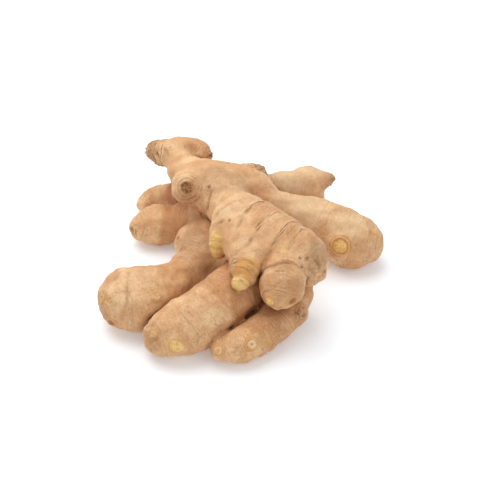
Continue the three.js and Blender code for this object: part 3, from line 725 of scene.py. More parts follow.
def pit_mask(points):
    """1 in the middle of each small pit, 0 away from them."""
    middles = onto_skin(np.array(PITS, float), 3)
    away = np.min([np.linalg.norm(points - middle, axis=1) for middle in middles], axis=0)
    return 1 - eased(0.3, 1.0, away / PIT_RADIUS)


def distance_to_line(points, line):
    """How far each point is from a line of points."""
    away = np.full(len(points), FAR)
    for start, end in zip(line[:-1], line[1:]):
        step = end - start
        share = np.clip((points - start) @ step / (step @ step), 0, 1)[:, None]
        away = np.minimum(away, np.linalg.norm(points - start - share * step, axis=1))
    return away


def fold_relief(points):
    """Grooves with a low ridge on both sides, and 1 along the bottom of each groove, where the materials
    paint shade.
    """
    sway = np.column_stack([drift(points, 7, seed) for seed in (41, 43, 47)])
    swayed = points + FOLD_SWAY * sway
    relief = np.zeros(len(points))
    mask = np.zeros(len(points))
    for line, depth in FOLDS:
        line = onto_skin(np.array(line, float), 4)
        line = curve_through(line, np.linspace(0, 1, 6 * len(line)))
        ends = np.minimum(*(np.linalg.norm(swayed - end, axis=1) for end in (line[0], line[-1])))
        fade = eased(0, FOLD_FADE, ends)
        place = distance_to_line(swayed, line) / FOLD_WIDTH
        groove = np.exp(-(place**2))
        ridge = RIDGE_HEIGHT * np.exp(-(((place - RIDGE_PLACE) / RIDGE_WIDTH) ** 2))
        relief += depth * fade * (ridge - groove)
        mask = np.maximum(mask, min(1, depth * 1.4) * fade * groove)
    return relief, mask


def cover(points, middle, radius, ragged):
    """1 inside a round patch of the skin, 0 outside it, with a ragged edge."""
    share = np.linalg.norm(points - np.array(middle), axis=1) / radius + ragged
    return 1 - eased(0.55, 1.1, share)


def patch_mask(points, patches, ragged):
    """How strongly some patches, each a middle, a radius and a strength, cover each point."""
    return np.max([s * cover(points, middle, r, ragged) for middle, r, s in patches], axis=0)


def tint_masks(points):
    """How strongly each kind of tint covers each point."""
    ragged = 0.25 * drift(points, 4, 11)
    return {kind: patch_mask(points, patches, ragged) for kind, patches in PATCHES.items()}


def hollow(points, way, reach):
    """How enclosed the skin is at each point, from 0 in the open to 1 deep in a crease."""
    gap, _ = skin_gap(points + reach * way)
    return np.clip(1 - gap / reach, 0, 1)


# --------------------------------------------------------------------------- mesh plumbing


def link_mesh(name, points, faces, smooth=True):
    """A new object from points in millimetres."""
    mesh = bpy.data.meshes.new(name)
    mesh.from_pydata((np.asarray(points) * MM).tolist(), [], faces)
    mesh.polygons.foreach_set("use_smooth", [smooth] * len(mesh.polygons))
    mesh.update()
    piece = bpy.data.objects.new(name, mesh)
    bpy.context.scene.collection.objects.link(piece)
    return piece


def voxel_copy(name, source, size):
    """The source's closed mesh again, in even faces of about size metres."""
    piece = bpy.data.objects.new(name, source.data.copy())
    bpy.context.scene.collection.objects.link(piece)
    remesh = piece.modifiers.new("even_faces", "REMESH")
    remesh.mode = "VOXEL"
    remesh.voxel_size = size
    depsgraph = bpy.context.evaluated_depsgraph_get()
    even = bpy.data.meshes.new_from_object(piece.evaluated_get(depsgraph))
    piece.modifiers.clear()
    piece.data = even
    even.name = name
    return piece


def read_points(mesh):
    """A mesh's corners in millimetres."""
    points = np.zeros(len(mesh.vertices) * 3, np.float32)
    mesh.vertices.foreach_get("co", points)
    return points.reshape(-1, 3).astype(float) / MM


def write_points(mesh, points):
    """Moves a mesh's corners to points in millimetres."""
    mesh.vertices.foreach_set("co", (points * MM).astype(np.float32).ravel())
    mesh.update()


def read_links(mesh):
    """The two corners of each edge."""
    links = np.zeros(len(mesh.edges) * 2, np.int32)
    mesh.edges.foreach_get("vertices", links)
    return links.reshape(-1, 2)


def read_normals(mesh):
    """The way out of the surface at each corner."""
    normals = np.zeros(len(mesh.vertices) * 3, np.float32)
    mesh.vertex_normals.foreach_get("vector", normals)
    return normals.reshape(-1, 3).astype(float)


def set_mask(mesh, name, values):
    """A value for each vertex, which the materials read by name."""
    attribute = mesh.attributes.new(name, "FLOAT", "POINT")
    attribute.data.foreach_set("value", np.asarray(values, np.float32))


def set_vectors(mesh, name, vectors):
    """Three values for each vertex, which the materials read by name."""
    attribute = mesh.attributes.new(name, "FLOAT_VECTOR", "POINT")
    attribute.data.foreach_set("vector", np.asarray(vectors, np.float32).ravel())


SOLID_LOW, SOLID_HIGH = (np.array(corner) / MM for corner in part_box(NODE))


def kept_in_box(points):
    """Points held inside the solid's own box, with the underside flat on the table."""
    return np.clip(points, SOLID_LOW, SOLID_HIGH)


def dressed_shape(points, way):
    """Skin points moved out to their full relief, with what the materials need to know."""
    found = survey(points)
    rings = ring_places(points, found)
    uneven = drift(points, 6, 5)
    bud_height, bud_place, bud_fresh, bud_collar = bud_relief(points)
    scar_height, scar_place = stem_scar_relief(points)
    # 1 where neither a bud nor the cut stem covers the skin.
    plain = np.clip((bud_place - 0.9) / 0.3, 0, 1) * np.clip((scar_place - 0.95) / 0.2, 0, 1)
    rings["strength"] = rings["strength"] * plain
    rough = patch_mask(points, ROUGH_PATCHES, 0.35 * drift(points, 7, 13))
    pit = pit_mask(points)
    # Folds: their relief, and the bottoms of their grooves, which are painted with shade.
    folded, fold_shade = fold_relief(points)
    # Gaps where two growths touch: the skin sinks a little there, and the materials paint them dark as
    # shadow.
    gap = eased(0.3, 0.95, hollow(points, way, GAP_REACH))
    dents = layered_drift(points, DENTS)
    scales = layered_drift(points, SCALES)
    grain = rings["grain"]
    wrinkles = sum(tall * drift(grain * squeeze, size, seed) for tall, squeeze, size, seed in WRINKLES)
    fine = rings["own_skin"] * plain * wrinkles
    marked = ring_relief(rings, uneven) + bud_height + scar_height + folded
    relief = marked + dents + rough * scales + fine - PIT_DEPTH * pit - GAP_DEPTH * gap
    marks = {
        "ring_offset": np.where(rings["after"] < rings["before"], rings["after"], -rings["before"]),
        "ring_strength": rings["strength"],
        "own_skin": rings["own_skin"] * plain,
        "dusky_and_shade": rings["dusky_and_shade"],
        "bud_place": bud_place,
        "bud_fresh": bud_fresh,
        "bud_collar": bud_collar,
        "stem_place": scar_place,
        "rough": rough,
        "pit": pit,
        "fold_shade": fold_shade,
        "gap": gap,
        # Painted shade in narrow creases and in broad hollows.
        "narrow_hollow_shade": hollow(points, way, NARROW_REACH),
        "broad_hollow_shade": hollow(points, way, BROAD_REACH),
        **tint_masks(points),
    }
    return points + relief[:, None] * way, marks, grain


# ------------------------------------------------------------------------------- materials


def tint(code):
    """A colour written as #rrggbb, as the linear values that shaders use."""
    channels = [int(code[i : i + 2], 16) / 255 for i in (1, 3, 5)]
    return tuple(c / 12.92 if c <= 0.04045 else ((c + 0.055) / 1.055) ** 2.4 for c in channels)


def opaque(colour):
    """A colour with full alpha."""
    return (*colour[:3], 1.0)


class Tree:
    """A short way to add and join the nodes of one material or node group."""

    def __init__(self, tree):
        self.tree = tree
        tree.nodes.clear()

    def add(self, kind, inputs=None, **settings):
        """A new node with its inputs and settings filled in."""
        node = self.tree.nodes.new(kind)
        for name, value in settings.items():
            setattr(node, name, value)
        for key, value in (inputs or {}).items():
            self.feed(node.inputs[key], value)
        return node

    def feed(self, socket, value):
        """Joins another node's output to an input, or gives the input a fixed value."""
        if isinstance(value, bpy.types.NodeSocket):
            self.tree.links.new(value, socket)
        else:
            socket.default_value = value

    def value(self, operation, *values, clamp=False):
        """One step of arithmetic."""
        inputs = dict(enumerate(values))
        return self.add("ShaderNodeMath", inputs, operation=operation, use_clamp=clamp).outputs[0]

    def times(self, one, other, clamp=False):
        """One value times another."""
        return self.value("MULTIPLY", one, other, clamp=clamp)

    def added(self, base, value, scale):
        """The base with a value added to it at a scale."""
        return self.value("MULTIPLY_ADD", value, scale, base)

    def eased(self, value, low, high):
        """0 at low, 1 at high and smooth between. Low may be the larger."""
        inputs = {"Value": value, "From Min": low, "From Max": high}
        return self.add("ShaderNodeMapRange", inputs, interpolation_type="SMOOTHSTEP").outputs["Result"]

    def mixed(self, share, one, other, blend="MIX"):
        """One colour with a share of another laid over it."""
        node = self.add("ShaderNodeMix", data_type="RGBA", blend_type=blend)
        for index, value in ((0, share), (6, one), (7, other)):
            self.feed(node.inputs[index], value)
        return node.outputs[2]

    def tinted(self, colour, mask, strength, tone):
        """A colour with a tone laid over it where a mask is 1, at a strength."""
        return self.mixed(self.times(mask, strength), colour, opaque(tone))

    def mark(self, name):
        """A value that the mesh holds for each vertex."""
        return self.add("ShaderNodeAttribute", attribute_name=name).outputs["Fac"]

    def grain_place(self):
        """Distance along the growth, and two offsets across it, in millimetres."""
        return self.add("ShaderNodeAttribute", attribute_name="grain").outputs["Vector"]

    def place(self):
        """Where the shaded point is, in metres."""
        return self.add("ShaderNodeTexCoord").outputs["Object"]

    def blotches(self, vector, size, detail=2.0, roughness=0.5):
        """Noise from 0 to 1 whose blotches are about size millimetres wide."""
        inputs = {"Vector": vector, "Scale": 1 / (size * MM), "Detail": detail, "Roughness": roughness}
        return self.add("ShaderNodeTexNoise", inputs).outputs["Fac"]

    def streaks(self, length, width):
        """Noise from 0 to 1 in streaks of a length along the growth and a width across it."""
        return self.group("ginger_grain", {"Length": length, "Width": width}).outputs["Streaks"]

    def mottled(self, main, pale, rosy):
        """Blotchy dry skin of three colours."""
        tones = {"Main": opaque(main), "Pale": opaque(pale), "Rosy": opaque(rosy)}
        return self.group("ginger_mottle", tones).outputs["Colour"]

    def speckles(self, size, amount):
        """1 in small freckles, 0 between them."""
        return self.group("ginger_speckle", {"Size": size, "Amount": amount}).outputs["Mask"]

    def group(self, name, inputs):
        """A shader node group, placed with its own values."""
        node = self.add("ShaderNodeGroup", node_tree=bpy.data.node_groups[name])
        for key, value in inputs.items():
            self.feed(node.inputs[key], value)
        return node


def new_group(name, inputs, outputs):
    """A shader node group with named inputs (kind, name, default) and outputs (kind, name)."""
    group = bpy.data.node_groups.new(name, "ShaderNodeTree")
    for kind, label, default in inputs:
        socket = group.interface.new_socket(label, in_out="INPUT", socket_type=f"NodeSocket{kind}")
        socket.default_value = default
    for kind, label in outputs:
        group.interface.new_socket(label, in_out="OUTPUT", socket_type=f"NodeSocket{kind}")
    tree = Tree(group)
    return tree, tree.add("NodeGroupInput").outputs, tree.add("NodeGroupOutput").inputs


def build_mottle_group():
    """Blotchy dry skin: a main colour with paler and rosier clouds, and fine darker grain."""
    white = (1, 1, 1, 1)
    inputs = [("Color", "Main", white), ("Color", "Pale", white), ("Color", "Rosy", white)]
    tree, given, made = new_group("ginger_mottle", inputs, [("Color", "Colour")])
    place = tree.place()
    clouds = tree.blotches(place, 16, 3)
    elsewhere = tree.add("ShaderNodeVectorMath", {0: place, 1: (0.3, 0.1, 0.2)}).outputs[0]
    drifts = tree.blotches(elsewhere, 9, 3)
    colour = tree.mixed(tree.eased(clouds, 0.42, 0.66), given["Main"], given["Pale"])
    colour = tree.mixed(tree.times(tree.eased(drifts, 0.48, 0.68), 0.8), colour, given["Rosy"])
    fine = tree.added(0.8, tree.blotches(place, 1.6, 4, 0.65), 0.4)
    patches = tree.added(0.85, tree.blotches(place, 4.5, 3, 0.6), 0.3)
    shade = tree.times(fine, patches)
    grey = tree.add("ShaderNodeCombineColor", {0: shade, 1: shade, 2: shade}).outputs[0]
    tree.feed(made["Colour"], tree.mixed(1.0, colour, grey, "MULTIPLY"))


def build_grain_group():
    """Fine fibres that run along each finger, from the mesh's grain coordinates."""
    inputs = [("Float", "Length", 9.0), ("Float", "Width", 0.5)]
    tree, given, made = new_group("ginger_grain", inputs, [("Float", "Streaks")])
    grain = tree.grain_place()
    wander = tree.add("ShaderNodeTexNoise", {"Vector": grain, "Scale": 0.16, "Detail": 2.0}).outputs["Color"]
    wander = tree.add("ShaderNodeVectorMath", {0: wander, 1: (5, 5, 5)}, operation="MULTIPLY").outputs[0]
    grain = tree.add("ShaderNodeVectorMath", {0: grain, 1: wander}).outputs[0]
    along = tree.value("DIVIDE", 1.0, given["Length"])
    aside = tree.value("DIVIDE", 1.0, given["Width"])
    sizes = tree.add("ShaderNodeCombineXYZ", {0: along, 1: aside, 2: aside}).outputs[0]
    stretched = tree.add("ShaderNodeVectorMath", {0: grain, 1: sizes}, operation="MULTIPLY").outputs[0]
    streaks = tree.add("ShaderNodeTexNoise", {"Vector": stretched, "Scale": 1.0, "Detail": 2.0})
    tree.feed(made["Streaks"], streaks.outputs["Fac"])


def build_speckle_group():
    """Small brown freckles that gather in loose drifts."""
    inputs = [("Float", "Size", 1.0), ("Float", "Amount", 0.3)]
    tree, given, made = new_group("ginger_speckle", inputs, [("Float", "Mask")])
    place = tree.place()
    scale = tree.value("DIVIDE", 1 / MM, given["Size"])
    dots = tree.add("ShaderNodeTexNoise", {"Vector": place, "Scale": scale, "Detail": 1.0}).outputs["Fac"]
    gathered = tree.blotches(place, 11, 2)
    level = tree.added(0.78, given["Amount"], -0.3)
    level = tree.added(level, tree.value("SUBTRACT", gathered, 0.5), -0.35)
    above = tree.value("SUBTRACT", dots, level)
    tree.feed(made["Mask"], tree.times(above, 18.0, clamp=True))


def new_material(name):
    """A material with no nodes yet, and the tree to add them to."""
    material = bpy.data.materials.new(name)
    material.use_nodes = True
    return material, Tree(material.node_tree)


def finish_material(tree, colour, roughness, height, lift, sheen=0.5):
    """The surface shader. Height is in millimetres and lift scales it. Sheen is its gloss level."""
    bump = tree.add("ShaderNodeBump", {"Strength": 1.0, "Distance": lift * MM, "Height": height})
    inputs = {"Base Color": colour, "Roughness": roughness, "Normal": bump.outputs[0],
              "Specular IOR Level": sheen}
    shader = tree.add("ShaderNodeBsdfPrincipled", inputs)
    output = tree.add("ShaderNodeOutputMaterial")
    tree.tree.links.new(shader.outputs[0], output.inputs["Surface"])
    return shader


def fibres_painted(tree, look, colour):
    """Lays streaks, bands, freckles and dashes on the skin. Gives the streaks and dashes as well."""
    own_skin = tree.mark("own_skin")
    streaks = tree.times(tree.eased(tree.streaks(11.0, 0.55), 0.5, 0.78), own_skin)
    bands = tree.times(tree.eased(tree.streaks(0.9, 9.0), 0.52, 0.75), own_skin)
    dashes = tree.streaks(0.45, 3.5)
    colour = tree.tinted(colour, streaks, 0.36, look.fibre)
    colour = tree.tinted(colour, bands, 0.26, look.fibre)
    colour = tree.tinted(colour, tree.speckles(1.3, look.freckles), 0.52, look.fibre)
    colour = tree.tinted(colour, tree.times(tree.eased(dashes, 0.6, 0.7), own_skin), 0.48, look.fibre)
    colour = tree.tinted(colour, tree.times(tree.eased(dashes, 0.4, 0.3), own_skin), 0.42, look.papery)
    return colour, streaks, dashes


def rings_painted(tree, look, colour, place):
    """Lays on the leaf-scar rings: a pale edge, and a thin dark line under it, broken in places."""
    ragged = tree.added(-0.8, tree.blotches(place, 3, 3), 1.6)
    offset = tree.value("ADD", tree.mark("ring_offset"), ragged)
    whole = tree.times(tree.eased(tree.blotches(place, 8, 2), 0.36, 0.56), tree.mark("ring_strength"))
    line = tree.times(tree.eased(offset, 0.8, 0.3), tree.eased(offset, -0.25, 0.05))
    edge = tree.times(tree.eased(offset, -1.3, -0.5), tree.eased(offset, 0.1, -0.15))
    line, edge = tree.times(line, whole), tree.times(edge, whole)
    colour = tree.tinted(colour, edge, 0.45, look.papery)
    colour = tree.tinted(colour, line, look.ring_darkness, look.ring_line)
    return colour, line, edge


def hollows_painted(tree, look, colour):
    """Paints shade: makes broad hollows, narrow creases, fold grooves and the gaps where fingers touch darker
    and redder; also darkens the pits, and makes fair skin paler.
    """
    colour = tree.tinted(colour, tree.mark("broad_hollow_shade"), 0.35, look.shaded)
    colour = tree.tinted(colour, tree.mark("narrow_hollow_shade"), 0.3, look.crease_shade_and_scar)
    colour = tree.tinted(colour, tree.mark("fold_shade"), 0.6, look.crease_shade_and_scar)
    # Painted shadow in the gaps where two fingers touch.
    colour = tree.tinted(colour, tree.mark("gap"), 0.85, look.gap)
    colour = tree.tinted(colour, tree.mark("pit"), 0.8, look.crease_shade_and_scar)
    return tree.tinted(colour, tree.mark("fair"), 0.45, look.papery)


def ages_painted(tree, look, colour, place, scaly):
    """Makes young skin yellow in thin rings, new stubs rosy, the left back finger's inner side rosy as
    painted shade, and torn ends brown and scaly.
    """
    along = tree.add("ShaderNodeSeparateXYZ", {0: tree.grain_place()}).outputs[0]
    waves = tree.value("SINE", tree.added(tree.times(along, 2.2), tree.blotches(place, 4, 2), 5.0))
    rings = tree.eased(waves, 0.3, 0.9)
    ripe = tree.tinted(opaque(look.amber), rings, 0.5, look.bud_ring)
    young = tree.tinted(opaque(look.bud), rings, 0.4, look.bud_ring)
    torn = tree.mixed(scaly, opaque(look.scar), opaque(look.papery))
    colour = tree.mixed(tree.times(tree.mark("amber"), 0.75), colour, ripe)
    colour = tree.mixed(tree.times(tree.mark("yellow"), 0.85), colour, young)
    # Rosy new stubs, and rosy painted shade on the left back finger.
    colour = tree.tinted(colour, tree.mark("pink_and_shade"), 0.5, look.blush_and_shade)
    return tree.mixed(tree.times(tree.mark("brown"), 0.8), colour, torn)


def buds_painted(tree, look, colour, place):
    """Lays on the buds, each a dome inside a brown collar of thin rings."""
    bud, fresh = tree.mark("bud_place"), tree.mark("bud_fresh")
    warp = tree.added(-0.15, tree.blotches(place, 2.6, 3), 0.3)
    bud = tree.value("ADD", bud, tree.times(warp, tree.eased(bud, 2.0, 1.2)))
    living, dead = tree.eased(fresh, 0.15, 0.8), tree.times(fresh, -1.0, clamp=True)
    dome = tree.mixed(living, opaque(look.papery), opaque(look.bud))
    dome = tree.mixed(dead, dome, opaque(look.crease_shade_and_scar))
    crumbs = tree.eased(tree.blotches(place, 1.1, 3), 0.48, 0.6)
    dome = tree.tinted(dome, crumbs, 0.45, look.bud_ring)
    shown = tree.added(0.3, tree.value("MAXIMUM", living, dead), 0.6)
    colour = tree.mixed(tree.times(tree.eased(bud, 0.74, 0.58), shown), colour, dome)
    collar = tree.times(tree.eased(bud, 1.45, 1.0), tree.eased(bud, 0.5, 0.68))
    collar = tree.times(collar, tree.mark("bud_collar"))
    lines = tree.eased(tree.value("SINE", tree.times(bud, 19.0)), 0.1, 0.9)
    dot = tree.times(tree.eased(bud, 0.24, 0.12), tree.eased(living, 0.7, 0.4))
    colour = tree.tinted(colour, collar, 0.45, look.amber)
    colour = tree.tinted(colour, tree.times(lines, collar), 0.42, look.ring_line)
    return tree.tinted(colour, dot, 0.6, look.ring_line)


def stem_painted(tree, look, colour, place):
    """Lays on the cut stem: thin rings round a dark fibrous middle. Gives rings and middle as well."""
    stem = tree.mark("stem_place")
    wobble = tree.times(tree.value("SUBTRACT", tree.blotches(place, 2.2, 3), 0.5), 0.14)
    stem_wobbled = tree.value("ADD", stem, wobble)
    turns = tree.value("FRACT", tree.times(stem_wobbled, 5.0))
    lines = tree.eased(tree.value("ABSOLUTE", tree.value("SUBTRACT", turns, 0.5)), 0.22, 0.05)
    lines = tree.times(lines, tree.eased(tree.blotches(place, 5, 2), 0.35, 0.6))
    disc = tree.eased(stem, 1.06, 0.96)
    lines = tree.times(disc, lines)
    pith = tree.eased(stem_wobbled, 0.48, 0.25)
    holes = tree.eased(tree.blotches(place, 1.4, 2), 0.46, 0.56)
    middle = tree.mixed(holes, opaque(look.pith), opaque(look.fibre))
    colour = tree.tinted(colour, disc, 0.12, look.scar)
    colour = tree.tinted(colour, lines, 0.5, look.ring_line)
    colour = tree.mixed(tree.times(pith, 0.8), colour, middle)
    return colour, lines, pith


def skin_material(look):
    """Tan ginger skin with its rings, creases, buds and scars, and painted shade in its hollows, folds and
    the gaps between fingers.
    """
    material, tree = new_material("ginger_skin_tan")
    place = tree.place()
    rough = tree.mark("rough")
    scaly = tree.eased(tree.blotches(place, 1.8, 3), 0.4, 0.62)
    colour = tree.mottled(look.tan, look.pale, look.rosy)
    # Duskier stretches between rings: partly darker sheath skin, partly painted shade.
    colour = tree.tinted(colour, tree.mark("dusky_and_shade"), 0.62, look.shaded)
    # Painted shade on the crown, elbow and back branch, and the heel's darker scarred skin.
    colour = tree.tinted(colour, tree.mark("dull_and_shade"), 0.55, look.dull_and_shade)
    colour, streaks, dashes = fibres_painted(tree, look, colour)
    colour, ring_line, ring_edge = rings_painted(tree, look, colour, place)
    colour = hollows_painted(tree, look, colour)
    colour = ages_painted(tree, look, colour, place, scaly)
    colour = buds_painted(tree, look, colour, place)
    colour, stem_rings, pith = stem_painted(tree, look, colour, place)
    colour = tree.tinted(colour, tree.times(rough, scaly), 0.4, look.fibre)

    # Relief that is finer than the mesh: each mask and how far it lifts the skin in millimetres.
    wrinkles = tree.blotches(place, 2.4, 5, 0.6)
    height = tree.times(wrinkles, look.wrinkle_height / MM)
    for mask, lift in (
        (tree.blotches(place, 0.8, 2), 0.05),
        (streaks, -0.07),
        (dashes, -0.09),
        (ring_line, -0.1),
        (ring_edge, 0.08),
        (stem_rings, -0.13),
        (tree.times(scaly, tree.value("MAXIMUM", rough, pith)), 0.3),
    ):
        height = tree.added(height, mask, lift)
    roughness = tree.added(look.roughness - 0.1, wrinkles, 0.22)
    finish_material(tree, colour, roughness, height, 1.0, look.sheen)
    return material


def fibre_material(look):
    """Dry straw-coloured fibre, darker in patches."""
    material, tree = new_material("ginger_dry_fibre")
    colour = tree.mottled(look.fibre_tan, look.fibre_pale, look.fibre_brown)
    colour = tree.tinted(colour, tree.speckles(0.8, 0.6), 0.5, look.fibre_brown)
    finish_material(tree, colour, 0.8, tree.blotches(tree.place(), 0.5, 2), 0.06)
    return material


def flake_material(look):
    """Thin papery skin that has come loose along a ring."""
    material, tree = new_material("ginger_loose_skin")
    streaks = tree.streaks(3.0, 0.4)
    colour = tree.mottled(look.flake_tan, look.flake_pale, look.fibre_brown)
    colour = tree.tinted(colour, tree.eased(streaks, 0.5, 0.8), 0.4, look.fibre_brown)
    finish_material(tree, colour, tree.added(0.55, streaks, 0.2), streaks, 0.12)
    return material


# ------------------------------------------------------------------------- loose small parts


def growth_place(name, distance, angle):
    """A point on the skin of a growth, at a distance along it and an angle round it."""
    growth = GROWN[ORDER[name]]
    step = int(np.clip(np.searchsorted(growth.along, distance) - 1, 0, len(growth.steps) - 1))
    share = (distance - growth.along[step]) / (growth.along[step + 1] - growth.along[step])
    centre = growth.centres[step] + share * growth.steps[step]
    radius = growth.radii[step] + share * (growth.radii[step + 1] - growth.radii[step])
    aside = math.cos(angle) * growth.across[step] + math.sin(angle) * growth.up[step]
    return centre + radius * aside


def hair_mesh(path, radii, sides):
    """A closed tube along a path, with a radius at each of its points."""
    path = np.asarray(path, float)
    ahead = np.gradient(path, axis=0)
    ahead /= np.linalg.norm(ahead, axis=1)[:, None]
    side = np.cross(ahead[0], (0.31, 0.17, 0.93))
    points, faces = [], []
    for centre, way, radius in zip(path, ahead, radii):
        side = side - (side @ way) * way
        side = side / np.linalg.norm(side)
        over = np.cross(way, side)
        for k in range(sides):
            turn = 2 * math.pi * k / sides
            points.append(centre + radius * (math.cos(turn) * side + math.sin(turn) * over))
    for row in range(len(path) - 1):
        for k in range(sides):
            a, b = row * sides + k, row * sides + (k + 1) % sides
            faces.append((a, b, b + sides, a + sides))
    faces.append(tuple(range(sides))[::-1])
    last = (len(path) - 1) * sides
    faces.append(tuple(range(last, last + sides)))
    return points, faces


def flake_mesh(outer, inner, thickness):
    """A thin closed strip between two lines of points, thinned to an edge along both."""
    outer, inner = np.asarray(outer, float), np.asarray(inner, float)
    across = inner - outer
    along = np.gradient(outer, axis=0)
    over = np.cross(along, across)
    over /= np.maximum(np.linalg.norm(over, axis=1), 1e-9)[:, None]
    middle = (outer + inner) / 2
    count = len(outer)
    points = np.concatenate([outer, middle + thickness * over, inner, middle - thickness * over])
    faces = []
    for lane in range(4):
        here, beside = lane * count, (lane + 1) % 4 * count
        for i in range(count - 1):
            faces.append((here + i, beside + i, beside + i + 1, here + i + 1))
    faces.append(tuple(lane * count for lane in range(4))[::-1])
    faces.append(tuple(lane * count + count - 1 for lane in range(4)))
    return list(points), faces


def joined(parts):
    """Several (points, faces) as one."""
    points, faces = [], []
    for own_points, own_faces in parts:
        start = len(points)
        points.extend(own_points)
        faces.extend(tuple(start + corner for corner in face) for face in own_faces)
    return points, faces


# Where dry root fibres stand: the middle of a tuft, the way it points, how far it spreads over
# the skin, how long its fibres are and how many there are.
TUFTS = [
    dict(at=(-60, 73, 42), out=(-0.9, 0.35, -0.1), spread=5, length=1.8, count=40),
    dict(at=(-55, 65, 42), out=(-0.6, -0.7, 0.3), spread=4, length=1.4, count=16),
    dict(at=(-20, 63, 44), out=(0.9, -0.3, 0.1), spread=5, length=1.2, count=34),
    dict(at=(12, 54, 39), out=(0.8, 0.2, 0.4), spread=3.5, length=1.2, count=16),
    dict(at=STEM_SCAR["at"], out=(-0.1, -0.7, 0.7), spread=2.4, length=0.9, count=22),
    dict(at=(31, -49, 18), out=(0.7, -0.7, 0.1), spread=4, length=1.0, count=14),
]

# Where skin has come loose along a ring: the growth, which ring, the angles round it in degrees
# between which it shows, and its width and lift in millimetres.
FLAKES = [
    ("hand", 2, 60, 120, 0.9, 0.12),
    ("hand", 3, 60, 150, 1.0, 0.14),
    ("hand", 4, 55, 150, 1.0, 0.14),
    ("hand", 5, 60, 150, 0.9, 0.12),
]

# A fibre has this many points along it and sides round it. A flake is rooted this far below its
# ring, and is this thick. Each tuft and flake adds its own number to the first seed.
FIBRE_POINTS = 7
FIBRE_SIDES = 5
FLAKE_ROOT = 0.9
FLAKE_THICKNESS = 0.09
FIRST_TUFT_SEED = 40
FIRST_FLAKE_SEED = 70


def tuft_fibres(tuft, seed, longest):
    """Short bent hairs that leave the skin round the middle of a tuft."""
    rng = np.random.default_rng(seed)
    out = np.array(tuft["out"], float)
    out /= np.linalg.norm(out)
    starts = np.array(tuft["at"], float) + rng.normal(0, tuft["spread"] / 2, (tuft["count"], 3))
    starts = onto_skin(starts, 4)
    ways = skin_gap(starts)[1]
    hairs = []
    for start, way in zip(starts, ways):
        heading = way + 0.9 * out + rng.normal(0, 0.45, 3)
        heading /= np.linalg.norm(heading)
        bend = rng.normal(0, 0.5, 3)
        length = min(longest, tuft["length"] * rng.uniform(0.5, 1.15))
        shares = np.linspace(-0.25, 1, FIBRE_POINTS)[:, None]
        path = start + length * (shares * heading + shares**2 * 0.35 * bend)
        radii = rng.uniform(0.09, 0.2) * np.linspace(1.15, 0.35, FIBRE_POINTS)
        hairs.append(hair_mesh(kept_in_box(path), radii, FIBRE_SIDES))
    return hairs


def loose_flake(name, ring, start, end, width, lift, seed):
    """A ragged strip of papery skin whose free edge lies towards the tip."""
    growth = GROWN[ORDER[name]]
    rng = np.random.default_rng(seed)
    count = max(8, int(abs(end - start) / 5))
    angles = np.radians(np.linspace(start, end, count))
    distance = growth.rings[ring] - FLAKE_ROOT
    taper = np.sin(np.linspace(0, math.pi, count)) ** 0.5
    ragged = np.convolve(rng.uniform(0.45, 1.2, count + 2), [0.25, 0.5, 0.25], "valid")
    reach = width * taper * ragged
    root = np.array([growth_place(name, distance, angle) for angle in angles])
    free = np.array([growth_place(name, distance + r, angle) for r, angle in zip(reach, angles)])
    root, free = onto_skin(root, 3), onto_skin(free, 3)
    way = skin_gap(free)[1]
    free = free + (lift * taper * ragged)[:, None] * way
    return flake_mesh(kept_in_box(root), kept_in_box(free), FLAKE_THICKNESS)


# ------------------------------------------------------------------------- add-on settings


def colour_setting(name, description, code):
    """A colour, whose default is written as #rrggbb."""
    return bpy.props.FloatVectorProperty(
        name=name, description=description, subtype="COLOR", size=3, min=0, max=1, default=tint(code)
    )


def length_setting(name, description, millimetres):
    """A length, whose default is in millimetres."""
    return bpy.props.FloatProperty(
        name=name, description=description, subtype="DISTANCE", unit="LENGTH", default=millimetres * MM
    )


def share_setting(name, description, value):
    """A share from 0 to 1."""
    return bpy.props.FloatProperty(
        name=name, description=description, subtype="FACTOR", min=0, max=1, default=value
    )


def power_setting(name, description, watts):
    """A lamp's power."""
    return bpy.props.FloatProperty(name=name, description=description, unit="POWER", default=watts)


